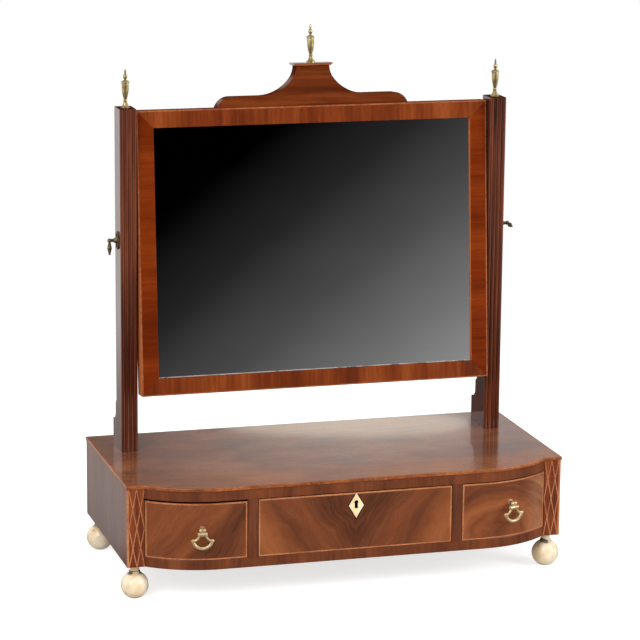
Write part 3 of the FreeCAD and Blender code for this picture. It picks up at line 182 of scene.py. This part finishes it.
class Nodes:
    """Short calls for building one node tree."""

    def __init__(self, tree):
        self.tree = tree
        self.tree.nodes.clear()

    def add(self, kind, inputs=None, **settings):
        node = self.tree.nodes.new(kind)
        for name, value in settings.items():
            setattr(node, name, value)
        for key, value in (inputs or {}).items():
            self.feed(node.inputs[key], value)
        return node

    def feed(self, socket, value):
        if isinstance(value, bpy.types.NodeSocket):
            self.tree.links.new(value, socket)
        else:
            socket.default_value = value

    def math(self, operation, *values):
        node = self.add("ShaderNodeMath", operation=operation)
        for socket, value in zip(node.inputs, values):
            self.feed(socket, value)
        return node.outputs[0]

    def plus(self, first, second):
        return self.math("ADD", first, second)

    def minus(self, first, second):
        return self.math("SUBTRACT", first, second)

    def times(self, first, second):
        return self.math("MULTIPLY", first, second)

    def spread(self, value, low, high, to_low=0.0, to_high=1.0, smooth=True):
        """A value mapped from one span to another and held at its ends."""
        node = self.add("ShaderNodeMapRange", {0: value, 1: low, 2: high, 3: to_low, 4: to_high})
        node.interpolation_type = "SMOOTHSTEP" if smooth else "LINEAR"
        return node.outputs[0]

    def between(self, noise, low, high):
        """A noise mapped to the span from one level to another."""
        return self.spread(noise, *NOISE_SPAN, low, high)

    def mix(self, factor, first, second, blend="MIX"):
        """Two colours mixed, through the colour sockets of the node."""
        node = self.add("ShaderNodeMix", data_type="RGBA", blend_type=blend)
        self.feed(node.inputs[0], factor)
        self.feed(node.inputs[6], first)
        self.feed(node.inputs[7], second)
        return node.outputs[2]

    def ramp(self, value, stops):
        node = self.add("ShaderNodeValToRGB", {0: value})
        points = node.color_ramp.elements
        while len(points) < len(stops):
            points.new(0.5)
        for point, (place, color) in zip(points, stops):
            point.position = place
            point.color = color
        return node.outputs[0]

    def noise(self, vector, scale, detail=4.0, roughness=0.55, distortion=0.0):
        scaled = self.add("ShaderNodeMapping", {"Vector": vector, "Scale": scale}).outputs[0]
        inputs = {"Vector": scaled, "Scale": 1.0, "Detail": detail, "Roughness": roughness,
                  "Distortion": distortion}
        return self.add("ShaderNodeTexNoise", inputs).outputs[0]

    def bump(self, height, strength, depth):
        inputs = {"Strength": strength, "Distance": depth, "Height": height}
        return self.add("ShaderNodeBump", inputs).outputs[0]

    def parts(self, vector):
        return self.add("ShaderNodeSeparateXYZ", {0: vector}).outputs

    def vector(self, x, y, z):
        return self.add("ShaderNodeCombineXYZ", {0: x, 1: y, 2: z}).outputs[0]

    def object_place(self, tilt=0.0):
        place = self.add("ShaderNodeTexCoord").outputs["Object"]
        if not tilt:
            return place
        turn = self.add("ShaderNodeVectorRotate", {"Vector": place, "Angle": tilt}, rotation_type="X_AXIS")
        return turn.outputs[0]

    def principled(self, inputs):
        return self.add("ShaderNodeBsdfPrincipled", inputs).outputs[0]

    def emission(self, color, strength):
        return self.add("ShaderNodeEmission", {"Color": color, "Strength": strength}).outputs[0]

    def mix_shaders(self, factor, first, second):
        return self.add("ShaderNodeMixShader", {0: factor, 1: first, 2: second}).outputs[0]

    def surface(self, shader):
        self.add("ShaderNodeOutputMaterial", {"Surface": shader})


def new_material(name):
    material = bpy.data.materials.new(name)
    material.use_nodes = True
    return material, Nodes(material.node_tree)


def polished(n, color, roughness, height, coat, bump=0.12, dull=None, dry_color=None, shine=WOOD_GLOSS):
    """Finish a wood: colour under a clear polish, dry in a given colour where it is dull."""
    normal = n.bump(height, bump, WOOD_RELIEF)
    shader = n.principled({
        "Base Color": color, "Roughness": roughness, "Normal": normal, "Specular IOR Level": shine,
        "Coat Weight": coat, "Coat Roughness": POLISH_ROUGHNESS})
    if dull is not None:
        dry = n.principled({
            "Base Color": dry_color, "Roughness": DRY_ROUGHNESS, "Normal": normal, "Specular IOR Level": 0.0})
        shader = n.mix_shaders(dull, shader, dry)
    n.surface(shader)


def facing(n, axes, low=0.75, high=0.95):
    """How far a surface turns to the given axes, either way along each."""
    normal = n.parts(n.add("ShaderNodeTexCoord").outputs["Normal"])
    turned = [n.math("ABSOLUTE", normal["XYZ".index(axis)]) for axis in axes]
    most = turned[0] if len(turned) == 1 else n.math("MAXIMUM", *turned)
    return n.spread(most, low, high)


def grain_layers(n, place, grain, patches, balance):
    """Fibre and pore noises of a wood, and the level that fibres and broader patches give together."""
    fibre = n.noise(place, grain, detail=6, roughness=0.62, distortion=0.35)
    patch = n.noise(place, patches, detail=2.5, roughness=0.5, distortion=0.25)
    fine = [scale * PORE_FINENESS for scale in grain]
    pores = n.spread(n.noise(place, fine, detail=2, roughness=0.5), 0.34, 0.42, 1.0, 0.0)
    mixed = n.plus(n.times(fibre, 1 - balance), n.times(patch, balance))
    return fibre, pores, mixed


def wood(name, tones, grain, patches, balance=0.5, tilt=0.0, coat=POLISH, rough=0.3, dry="", side=None,
         shine=WOOD_GLOSS, worn=None):
    """Straight-grained polished wood: tones from dark to light, noise scales along each axis, dry faces.

    The side is a paler tone painted on the dry faces to the left and right, as painted light on them. Worn
    gives two places between which the polish thins out towards the front and a paler tone is painted in as
    sheen, and that tone.
    """
    material, n = new_material(name)
    place = n.object_place(tilt)
    fibre, pores, mixed = grain_layers(n, place, grain, patches, balance)
    color = n.ramp(n.spread(mixed, *GRAIN_SPAN, smooth=False), even_stops(tones))
    # Towards the front the polish thins, and a paler tone is painted in there as sheen
    if worn:
        start, end, bare = worn
        to_front = n.spread(n.parts(place)["Y"], start, end)
        wear_and_sheen = n.times(to_front, n.spread(mixed, 0.3, 0.6, 0.5, 1.0))
        color = n.mix(n.times(wear_and_sheen, 0.6), color, bare)
        coat = n.times(n.spread(wear_and_sheen, 0.0, 1.0, 1.0, 0.55, smooth=False), coat)
    color = n.mix(n.times(pores, 0.4), color, tones[0])
    dry_color = n.mix(0.35, color, tone(40, 18, 10))
    # The paler tone on the left and right dry faces is painted light
    if side:
        dry_color = n.mix(facing(n, "X"), dry_color, n.mix(0.65, color, side))
    roughness = n.between(fibre, rough, rough + 0.14)
    dull = facing(n, dry) if dry else None
    polished(n, color, roughness, n.minus(fibre, pores), coat, dull=dull, dry_color=dry_color, shine=shine)
    return material


def figured_wood(name, flow, bands, streaks, plate=None, painted_sheen=None):
    """Figured veneer on a drawer front: streaks that follow a flow, over broad tones across the flow.

    The front's own faces in the gaps round it are darkened with painted shade, and the veneer is darker round
    a lozenge-shaped plate. Two places, where given, bound a painted sheen that pales the veneer to the right.
    """
    material, n = new_material(name)
    axes = n.parts(n.object_place())
    x = axes["X"]
    z = axes["Z"]
    wander = n.noise(n.vector(x, 0.0, z), (28, 1, 28), detail=2)
    across, along = flow(n, x, z)
    across = n.plus(across, n.times(n.minus(wander, 0.5), STREAK_WANDER))
    place = n.vector(across, 0.0, along)
    fibre, pores, mixed = grain_layers(n, place, grain=(330, 1, 22), patches=(95, 1, 16), balance=0.45)
    first = bands[0][0]
    last = bands[-1][0]
    stops = [((at - first) / (last - first), value) for at, value in bands]
    broad = n.ramp(n.spread(across, first, last, smooth=False), stops)
    streak = n.ramp(n.spread(mixed, 0.4, 0.62, smooth=False), even_stops(streaks))
    color = n.mix(STREAK_SHARE, broad, streak)
    color = n.mix(n.times(pores, 0.3), color, tone(58, 28, 18))
    # Painted sheen that pales the veneer towards its right end
    if painted_sheen:
        sheen_to_right = n.spread(x, *painted_sheen, 0.0, 0.55)
        color = n.mix(n.times(sheen_to_right, n.spread(mixed, 0.36, 0.6, 0.4, 1.0)), color, tone(190, 132, 96))
    # Darker round the lozenge-shaped plate
    if plate:
        low, high = plate
        middle = (low.z + high.z) / 2
        half_height = (high.z - low.z) / 2
        rise = n.math("DIVIDE", n.math("ABSOLUTE", n.minus(z, middle)), half_height)
        reach = n.plus(n.math("DIVIDE", n.math("ABSOLUTE", x), high.x), rise)
        color = n.mix(n.spread(reach, 1.06, 1.24, 0.85, 0.0), color, SHADE_AND_OUTLINE_TONE)
    # Faces turned to the sides, top and bottom sit in the gaps round the front and take painted shade
    polished(n, color, n.between(fibre, 0.3, 0.42), n.minus(fibre, pores), POLISH,
             dull=facing(n, "XZ", 0.96, 0.99), dry_color=n.mix(0.6, color, SHADE_AND_OUTLINE_TONE))
    return material


def slanted(angle, mirrored=False):
    """A flow of straight streaks that rise to the right, or away from the middle on both sides."""
    def flow(n, x, z):
        if mirrored:
            x = n.math("ABSOLUTE", x)
        across = n.minus(n.times(x, math.sin(angle)), n.times(z, math.cos(angle)))
        along = n.plus(n.times(x, math.cos(angle)), n.times(z, math.sin(angle)))
        return across, along
    return flow


def ringed(centre_x, centre_z):
    """A flow of arcs about a point of the front."""
    def flow(n, x, z):
        over = n.minus(x, centre_x)
        up = n.times(n.minus(z, centre_z), ARC_SQUEEZE)
        across = n.math("SQRT", n.plus(n.times(over, over), n.times(up, up)))
        along = n.times(n.math("ARCTAN2", up, over), ARC_RADIUS)
        return across, along
    return flow


def stringing(name, tones, scale):
    """Pale inlaid string with short dashes of darker grain."""
    material, n = new_material(name)
    place = n.object_place()
    dashes = n.noise(place, (scale, scale, scale), detail=3)
    slow = n.noise(place, (30, 30, 30), detail=2)
    level = n.plus(n.times(dashes, 0.5), n.times(slow, 0.5))
    color = n.ramp(n.spread(level, 0.36, 0.64, smooth=False), even_stops(tones))
    polished(n, color, n.between(dashes, 0.3, 0.42), dashes, coat=0.5, bump=0.08)
    return material


def oak(name, grain, patches):
    """Waxed plain oak of the linings and backs, with noise scales along each axis."""
    material, n = new_material(name)
    fibre, pores, mixed = grain_layers(n, n.object_place(), grain, patches, balance=0.4)
    tones = palette((126, 92, 58), (166, 130, 88), (190, 156, 112))
    color = n.ramp(n.spread(mixed, *GRAIN_SPAN, smooth=False), even_stops(tones))
    color = n.mix(n.times(pores, 0.5), color, tone(92, 62, 36))
    polished(n, color, n.between(fibre, 0.5, 0.62), n.minus(fibre, pores), coat=0.0, bump=0.2)
    return material


def bone(name, tones, ring=None):
    """Cream bone with drying specks and fine lines, sooty in patches where the ring is."""
    material, n = new_material(name)
    place = n.object_place()
    cloud = n.noise(place, (70, 70, 70))
    lines = n.noise(place, (520, 520, 60), detail=3)
    speck = n.spread(n.noise(place, (240, 240, 240), detail=1.5), 0.71, 0.76)
    color = n.ramp(n.spread(cloud, 0.35, 0.65, smooth=False), even_stops(tones))
    color = n.mix(n.spread(lines, 0.6, 0.74, 0.0, 0.22), color, tone(190, 152, 104))
    color = n.mix(n.times(speck, 0.7), color, tone(104, 74, 46))
    if ring:
        floor, top = ring
        patch = n.spread(n.noise(place, (55, 55, 20), detail=2), 0.44, 0.56)
        level = n.plus(n.parts(place)["Z"], n.times(n.minus(cloud, 0.5), SOOT_WAVER))
        low = n.spread(level, floor - SOOT_BELOW, floor)
        high = n.spread(level, top, top + SOOT_ABOVE, 1.0, 0.0)
        soot = n.times(n.times(low, high), n.spread(patch, 0.0, 1.0, 0.25, 0.9))
        color = n.mix(soot, color, tone(66, 48, 34))
    n.surface(n.principled({
        "Base Color": color, "Roughness": n.between(cloud, 0.26, 0.4),
        "Normal": n.bump(n.minus(lines, speck), 0.12, 0.3 * MM),
        "Subsurface Weight": 0.12, "Subsurface Radius": (0.004, 0.0025, 0.0015), "Subsurface Scale": 0.5,
        "Coat Weight": 0.25, "Coat Roughness": 0.15}))
    return material


def toned_metal(name, tones, stained, rough, bare=1.0):
    """Handled metal, bare or under lacquer: bright where rubbed, dull in patches, stained in the hollows."""
    bright, dull, stain = tones
    material, n = new_material(name)
    place = n.object_place()
    cloud = n.noise(place, (160, 160, 160), detail=5)
    scratches = n.noise(place, (1500, 1500, 260), detail=2)
    hollow = n.add("ShaderNodeNewGeometry").outputs["Pointiness"]
    color = n.mix(n.spread(cloud, 0.4, 0.62), bright, dull)
    color = n.mix(n.times(n.spread(hollow, 0.4, 0.5, 1.0, 0.0), stained), color, stain)
    roughness = n.plus(n.between(cloud, rough, rough + 0.16), n.times(scratches, 0.06))
    n.surface(n.principled({
        "Base Color": color, "Metallic": bare, "Roughness": roughness,
        "Normal": n.bump(scratches, 0.08, 0.2 * MM)}))
    return material


def silvering(name, low):
    """Old mirror plate: silver with faint smears, worn to a pale line where it stands in the lower rail."""
    material, n = new_material(name)
    place = n.object_place()
    cloud = n.noise(place, (60, 60, 60))
    smear = n.noise(place, (9, 9, 16), detail=3)
    above = n.minus(n.parts(place)["Z"], low.z)
    line = n.spread(above, GLASS_COVER + WORN_LINE_START, GLASS_COVER + WORN_LINE_END, 1.0, 0.0)
    worn = n.times(line, n.spread(cloud, 0.36, 0.56, 0.25, 1.0))
    silver = n.ramp(n.between(smear, 0.0, 1.0), even_stops(palette((222, 222, 222), (230, 230, 230))))
    color = n.mix(n.times(worn, 0.5), silver, tone(206, 188, 170))
    roughness = n.plus(n.spread(smear, 0.35, 0.7, 0.012, 0.03), n.times(worn, 0.5))
    silvered = n.minus(1.0, n.times(worn, 0.7))
    n.surface(n.principled({"Base Color": color, "Metallic": silvered, "Roughness": roughness}))
    return material


def front_veneers():
    """Figured veneers of the three drawer fronts."""
    left_low, left_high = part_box("left_drawer_front")
    centre_low, centre_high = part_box("centre_drawer_front")
    right_low, right_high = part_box("right_drawer_front")
    arc_x = right_low.x * (1 - ARC_ACROSS) + right_high.x * ARC_ACROSS
    arc_z = right_low.z * (1 - ARC_UP) + right_high.z * ARC_UP
    dark, deep, warm = palette((76, 36, 17), (98, 49, 24), (121, 62, 30))
    glow, pale = palette((137, 73, 36), (158, 91, 48))
    streaks = palette((88, 44, 25), (154, 88, 50))

    def place_across(x, z):
        return x * math.sin(STREAK_SLANT) - z * math.cos(STREAK_SLANT)

    def spaced(start, end, shares):
        return [(start + (end - start) * share, value) for share, value in shares]

    left_bands = spaced(
        place_across(left_low.x, left_high.z), place_across(left_high.x, left_low.z),
        ((0.0, warm), (0.2, glow), (0.42, warm), (0.55, glow),
         (0.62, deep), (0.74, dark), (0.82, deep), (1.0, glow)))
    centre_bands = spaced(
        place_across(0, centre_high.z), place_across(centre_high.x, centre_low.z),
        ((0.0, dark), (0.22, dark), (0.36, deep), (0.48, warm),
         (0.62, deep), (0.74, glow), (0.88, pale), (1.0, glow)))
    right_bands = (
        (0.0, deep), (0.014, warm), (0.026, glow), (0.034, warm),
        (0.044, pale), (0.054, glow), (0.066, deep), (0.1, warm))
    return {
        "left_front": figured_wood("left_front_veneer", slanted(STREAK_SLANT), left_bands, streaks),
        "centre_front": figured_wood("centre_front_veneer", slanted(STREAK_SLANT, mirrored=True),
                                     centre_bands, streaks, plate=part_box("escutcheon")),
        # The right front's right end is paled with painted sheen
        "right_front": figured_wood("right_front_veneer", ringed(arc_x, arc_z), right_bands, streaks,
                                    painted_sheen=(right_high.x - PAINTED_SHEEN_START, right_high.x - PAINTED_SHEEN_END)),
    }


def box_woods():
    """Straight-grained woods of the box and the posts."""
    upright = (240, 240, 16)
    return {
        # The top's paler front is painted sheen, where the polish also thins
        "top": wood("top_veneer", palette((100, 54, 29), (117, 65, 36), (131, 76, 43), (147, 88, 52)),
                    grain=(16, 120, 120), patches=(13, 20, 18), balance=0.66, coat=0.9, rough=0.26,
                    worn=(*TOP_WEAR_AND_SHEEN, tone(164, 101, 60))),
        "side": wood("carcase_veneer", palette((88, 46, 29), (106, 58, 38), (120, 68, 44)),
                     grain=(200, 200, 11), patches=(30, 30, 5), balance=0.55, coat=0.85),
        "rail": wood("rail_veneer", palette((92, 45, 23), (105, 53, 26), (116, 59, 29), (128, 67, 34)),
                     grain=upright, patches=(36, 36, 5), balance=0.6),
        "partition": wood("partition_veneer", palette((74, 37, 21), (97, 49, 28), (114, 59, 33)),
                          grain=upright, patches=(50, 50, 12), balance=0.55),
        "pilaster": wood("pilaster_veneer", palette((88, 39, 18), (117, 53, 24), (138, 68, 32)),
                         grain=upright, patches=(60, 60, 14)),
        "post": wood("post_wood", palette((44, 17, 6), (75, 30, 12), (92, 40, 17), (112, 53, 25)),
                     grain=(300, 300, 9), patches=(60, 60, 4), coat=0.66, rough=0.26, dry="Z", shine=0.1),
    }


def mirror_woods():
    """Woods of the swing mirror, whose grain leans with it."""
    shared = {"tilt": MIRROR_TILT, "dry": "XZ"}
    # The paler tone on the frame's left and right faces is painted light falling on them
    framed = {"balance": 0.62, "side": tone(214, 126, 74), **shared}
    level_tones = palette((93, 36, 9), (110, 45, 12), (124, 55, 17), (140, 68, 27))
    stile_tones = palette((90, 28, 2), (104, 35, 3), (115, 42, 5), (126, 51, 9))
    return {
        "frame_level": wood("frame_level_veneer", level_tones, grain=(260, 60, 14), patches=(30, 20, 4),
                            coat=0.2, shine=0.08, **framed),
        "frame_stile": wood("frame_stile_veneer", stile_tones, grain=(14, 60, 260), patches=(4, 20, 30),
                            coat=0.06, shine=0.04, **framed),
        "crest": wood("crest_wood", palette((68, 25, 6), (87, 34, 9), (100, 42, 12), (114, 52, 18)),
                      grain=(9, 180, 180), patches=(6, 50, 60), coat=0.12, shine=0.05, **shared),
        "cap": wood("cap_wood", palette((104, 50, 26), (138, 74, 42), (158, 90, 54)),
                    grain=(12, 240, 240), patches=(20, 80, 80), tilt=MIRROR_TILT),
    }


def pale_woods():
    """Inlaid strings, and the oak of linings and backs."""
    string_tones = palette((148, 84, 50), (178, 110, 69), (198, 131, 87))
    edge_tones = palette((118, 60, 26), (148, 80, 37), (174, 102, 54))
    frame_tones = palette((124, 62, 30), (152, 82, 44), (172, 100, 58))
    return {
        "string": stringing("pale_string", string_tones, scale=420),
        "edge": stringing("edge_string", edge_tones, scale=260),
        "frame_string": stringing("frame_string", frame_tones, scale=300),
        "oak": oak("oak_lining", grain=(260, 18, 260), patches=(40, 6, 60)),
        "oak_across": oak("oak_board", grain=(14, 260, 260), patches=(5, 40, 45)),
    }


def hardware():
    """Bone, metals and glass."""
    ring = (FOOT_RING_FLOOR, FOOT_RING_FLOOR + FOOT_RING_HEIGHT)
    return {
        "foot": bone("turned_bone", palette((233, 201, 157), (248, 225, 189), (254, 238, 212)), ring),
        "plate": bone("bone_plate", palette((236, 198, 140), (247, 217, 165), (252, 232, 196))),
        "brass": toned_metal("brass", palette((196, 178, 132), (152, 132, 88), (80, 66, 40)),
                             stained=0.8, rough=0.34),
        "handle": toned_metal("handle_brass", palette((230, 205, 162), (198, 169, 122), (88, 66, 40)),
                              stained=0.75, rough=0.27, bare=0.6),
        "aged": toned_metal("aged_brass", palette((138, 120, 90), (72, 58, 42), (24, 19, 14)),
                            stained=0.8, rough=0.34, bare=0.75),
        "steel": toned_metal("dull_steel", palette((132, 130, 126), (92, 90, 88), (60, 50, 42)),
                             stained=0.5, rough=0.38),
        "glass": silvering("silvered_glass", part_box("mirror_glass")[0]),
    }


# Material of each node
LOOKS = {
    "top_board": "top", "top_edge_stringing": "edge", "bottom_board": "oak_across",
    "back_board": "oak_across", "left_side_board": "side", "right_side_board": "side",
    "front_top_rail": "rail", "front_bottom_rail": "rail", "left_partition": "partition",
    "right_partition": "partition", "left_pilaster": "pilaster", "right_pilaster": "pilaster",
    "pilaster_stringing": "string", "left_post": "post", "right_post": "post",
    "front_left_foot": "foot", "front_right_foot": "foot", "back_left_foot": "foot",
    "back_right_foot": "foot", "left_finial": "brass", "right_finial": "brass", "crest_finial": "brass",
    "left_pivot_plate": "aged", "right_pivot_plate": "aged", "plate_screws": "aged",
    "left_pivot_screw": "aged", "right_pivot_screw": "aged", "left_handle_stud": "handle",
    "right_handle_stud": "handle", "left_handle_bail": "handle", "right_handle_bail": "handle",
    "escutcheon": "plate", "lock_case": "steel", "lock_bolt": "steel", "frame_top_rail": "frame_level",
    "frame_bottom_rail": "frame_level", "frame_left_stile": "frame_stile",
    "frame_right_stile": "frame_stile", "frame_stringing": "frame_string", "frame_nut_plates": "aged",
    "mirror_glass": "glass", "mirror_backboard": "oak_across", "backboard_pins": "steel",
    "crest_board": "crest", "crest_cap": "cap",
}

# Width in millimetres of the worn rounding on the free edges of each node
ROUNDED = {
    "top_edge_stringing": 1.0, "left_side_board": 0.6, "right_side_board": 0.6, "back_board": 0.5,
    "front_top_rail": 0.4, "front_bottom_rail": 0.6, "left_partition": 0.3, "right_partition": 0.3,
    "left_pilaster": 0.5, "right_pilaster": 0.5, "left_post": 0.5, "right_post": 0.5, "top_board": 0.8,
    "frame_top_rail": 0.8, "frame_bottom_rail": 0.8, "frame_left_stile": 0.8, "frame_right_stile": 0.8,
    "frame_stringing": 0.7, "crest_board": 0.8, "crest_cap": 0.7, "mirror_backboard": 0.5,
    "escutcheon": 0.2, "lock_case": 0.4, "lock_bolt": 0.4, "left_pivot_plate": 0.4,
    "right_pivot_plate": 0.4, "left_handle_stud": 0.3, "right_handle_stud": 0.3,
}

for drawer in ("left", "centre", "right"):
    LOOKS[f"{drawer}_drawer_front"] = f"{drawer}_front"
    LOOKS[f"{drawer}_drawer_stringing"] = "string"
    ROUNDED[f"{drawer}_drawer_front"] = 0.4
    ROUNDED[f"{drawer}_drawer_stringing"] = 0.4
    for lining, look in (("sides", "oak"), ("back", "oak_across"), ("bottom", "oak")):
        LOOKS[f"{drawer}_drawer_{lining}"] = look
        ROUNDED[f"{drawer}_drawer_{lining}"] = 0.6


def surfaces():
    """A search tree of each CAD node's faces, with its box."""
    trees = {}
    for name, thing in nodes.items():
        corners = [vertex.co for vertex in thing.data.vertices]
        faces = [tuple(face.vertices) for face in thing.data.polygons]
        trees[name] = (BVHTree.FromPolygons(corners, faces), *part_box(name))
    return trees


def is_free(edge, name, trees):
    """Whether no other node touches an edge."""
    start, end = (vertex.co for vertex in edge.verts)
    for share in EDGE_PROBES:
        point = start.lerp(end, share)
        for other, (tree, low, high) in trees.items():
            inside = all(low[i] - TOUCHING < point[i] < high[i] + TOUCHING for i in range(3))
            if other != name and inside and tree.find_nearest(point, TOUCHING)[0] is not None:
                return False
    return True


def is_corner(edge, name, trees):
    """Whether an edge stands out and is free to wear."""
    return edge.is_manifold and edge.calc_face_angle_signed() > CORNER and is_free(edge, name, trees)


def soften(name, width, trees):
    """Replace a node by a copy whose free corners are rounded."""
    shape = bmesh.new()
    shape.from_mesh(nodes[name].data)
    bmesh.ops.remove_doubles(shape, verts=shape.verts, dist=SAME_POINT)
    bmesh.ops.dissolve_limit(shape, angle_limit=FLAT, verts=shape.verts, edges=shape.edges)
    bmesh.ops.recalc_face_normals(shape, faces=shape.faces)
    corners = [edge for edge in shape.edges if is_corner(edge, name, trees)]
    bmesh.ops.bevel(shape, geom=corners, offset=width * MM, offset_type="OFFSET", segments=ROUNDING_STEPS,
                    profile=0.5, affect="EDGES", clamp_overlap=True)
    shape.normal_update()
    for face in shape.faces:
        face.smooth = True
    for edge in shape.edges:
        edge.smooth = edge.is_manifold and edge.calc_face_angle() < CREASE
    mesh = bpy.data.meshes.new(f"{name}_worn")
    shape.to_mesh(mesh)
    shape.free()
    piece = bpy.data.objects.new(f"{name}_worn", mesh)
    scene.collection.objects.link(piece)
    weighted = piece.modifiers.new("even_shading", "WEIGHTED_NORMAL")
    weighted.keep_sharp = True
    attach(piece, BODY_OF[name])
    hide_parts(name)
    return piece


def dress():
    """Round the worn edges and give every piece its material."""
    materials = {**front_veneers(), **box_woods(), **mirror_woods(), **pale_woods(), **hardware()}
    trees = surfaces()
    for name, look in LOOKS.items():
        piece = soften(name, ROUNDED[name], trees) if name in ROUNDED else nodes[name]
        piece.data.materials.clear()
        piece.data.materials.append(materials[look])


def make_camera():
    """A long lens at the photograph's angle, with the photograph's slight roll."""
    back = Vector((math.sin(CAMERA_AZIMUTH) * math.cos(CAMERA_ELEVATION),
                   -math.cos(CAMERA_AZIMUTH) * math.cos(CAMERA_ELEVATION),
                   math.sin(CAMERA_ELEVATION)))
    level = Vector((math.cos(CAMERA_AZIMUTH), math.sin(CAMERA_AZIMUTH), 0))
    upright = back.cross(level)
    right = level * math.cos(CAMERA_ROLL) + upright * math.sin(CAMERA_ROLL)
    up = upright * math.cos(CAMERA_ROLL) - level * math.sin(CAMERA_ROLL)
    data = bpy.data.cameras.new("camera")
    data.lens = CAMERA_LENS
    data.sensor_width = CAMERA_SENSOR
    data.clip_end = CAMERA_REACH
    camera = bpy.data.objects.new("camera", data)
    turn = Matrix((right, up, back)).transposed().to_4x4()
    camera.matrix_world = Matrix.Translation(CAMERA_TARGET + back * CAMERA_DISTANCE) @ turn
    scene.collection.objects.link(camera)
    scene.camera = camera


def make_world():
    """White studio: white behind, an unlit room in front for the glass to show, even light all round."""
    world = bpy.data.worlds.new("studio")
    scene.world = world
    world.use_nodes = True
    n = Nodes(world.node_tree)
    x, y, z = n.parts(n.add("ShaderNodeTexCoord").outputs["Generated"])
    rays = n.add("ShaderNodeLightPath").outputs
    slope = n.minus(n.times(x, ROOM_RIGHT), n.times(z, ROOM_DOWN))
    greys = [ROOM_LIGHTEST * step / ROOM_STEPS for step in range(ROOM_STEPS + 1)]
    room = n.ramp(n.minus(slope, ROOM_START), even_stops([tone(grey, grey, grey) for grey in greys]))
    hump = n.math("MINIMUM", n.spread(x, *HUMP_RISE, STUDIO_DIM, STUDIO_BRIGHT),
                  n.spread(x, *HUMP_FALL, STUDIO_BRIGHT, STUDIO_HALF))
    behind = n.times(hump, n.spread(z, *HUMP_TOP, 1.0, STUDIO_HALF))
    right_back = n.times(n.spread(y, *TO_FAR_BACK), n.spread(x, *TO_RIGHT))
    height = n.spread(z, *TO_OVERHEAD, 1.0, STUDIO_OVERHEAD)
    studio = n.mix(right_back, WHITE, n.vector(behind, behind, behind))
    studio = n.mix(1.0, studio, n.vector(height, height, height), "MULTIPLY")
    seen = n.mix(n.spread(y, *TO_BACK), room, studio)
    lit = n.mix(rays["Is Glossy Ray"], STUDIO_LIGHT, seen)
    through = n.math("MAXIMUM", rays["Is Camera Ray"], rays["Is Transmission Ray"])
    background = n.add("ShaderNodeBackground", {"Color": n.mix(through, lit, WHITE), "Strength": 1.0})
    n.add("ShaderNodeOutputWorld", {"Surface": background.outputs[0]})


def make_floor():
    """A white floor that keeps a faint shadow, and that the polish shows dark but for its left back."""
    shape = bmesh.new()
    bmesh.ops.create_circle(shape, cap_ends=True, radius=FLOOR_RADIUS, segments=FLOOR_SIDES)
    mesh = bpy.data.meshes.new("floor")
    shape.to_mesh(mesh)
    shape.free()
    floor = bpy.data.objects.new("floor", mesh)
    scene.collection.objects.link(floor)
    material, n = new_material("white_floor")
    place = n.object_place()
    axes = n.parts(place)
    rays = n.add("ShaderNodeLightPath").outputs
    grain = n.noise(place, (60, 60, 60), detail=3)
    paint = n.ramp(grain, [(0.3, tone(212, 212, 212)), (0.7, tone(216, 216, 216))])
    matte = n.add("ShaderNodeBsdfDiffuse", {"Color": paint}).outputs[0]
    shown = n.math("MAXIMUM", rays["Is Camera Ray"], rays["Is Transmission Ray"])
    glow = n.emission(WHITE, n.times(shown, FLOOR_GLOW))
    lit = n.add("ShaderNodeAddShader", {0: matte, 1: glow}).outputs[0]
    left_back = n.times(n.spread(axes["X"], *FLOOR_LEFT), n.spread(axes["Y"], *FLOOR_BACK))
    strength = n.spread(left_back, 0.0, 1.0, *FLOOR_MIRRORED, smooth=False)
    mirrored = n.emission(FLOOR_MIRRORED_COLOR, strength)
    solid = n.mix_shaders(rays["Is Glossy Ray"], lit, mirrored)
    distance = n.add("ShaderNodeVectorMath", {0: place}, operation="LENGTH").outputs["Value"]
    clear = n.add("ShaderNodeBsdfTransparent").outputs[0]
    n.surface(n.mix_shaders(n.spread(distance, *FLOOR_FADE), solid, clear))
    mesh.materials.append(material)


def make_lamp(name, place, aim, size, power, height=None, color=(1, 1, 1)):
    """A round soft lamp, or a long one where a height is given."""
    data = bpy.data.lights.new(name, "AREA")
    data.shape = "ELLIPSE" if height else "DISK"
    data.size = size
    if height:
        data.size_y = height
    data.color = color
    data.energy = power
    lamp = bpy.data.objects.new(name, data)
    lamp.location = place
    lamp.rotation_euler = (Vector(aim) - Vector(place)).to_track_quat("-Z", "Y").to_euler()
    scene.collection.objects.link(lamp)


dress()
make_camera()
make_world()
make_floor()
make_lamp("left_softbox", place=(-1.6, -2.0, 1.9), aim=(0, 0, 0.25), size=1.5, power=42)
make_lamp("right_softbox", place=(2.0, -1.7, 1.2), aim=(0.15, -0.05, 0.15), size=1.2, power=30)
make_lamp("back_strip", place=(0.385, 1.2, 0.427), aim=(0.07, 0.09, 0.134), size=0.41, height=0.048,
          power=0.057, color=(1.0, 0.87, 0.66))
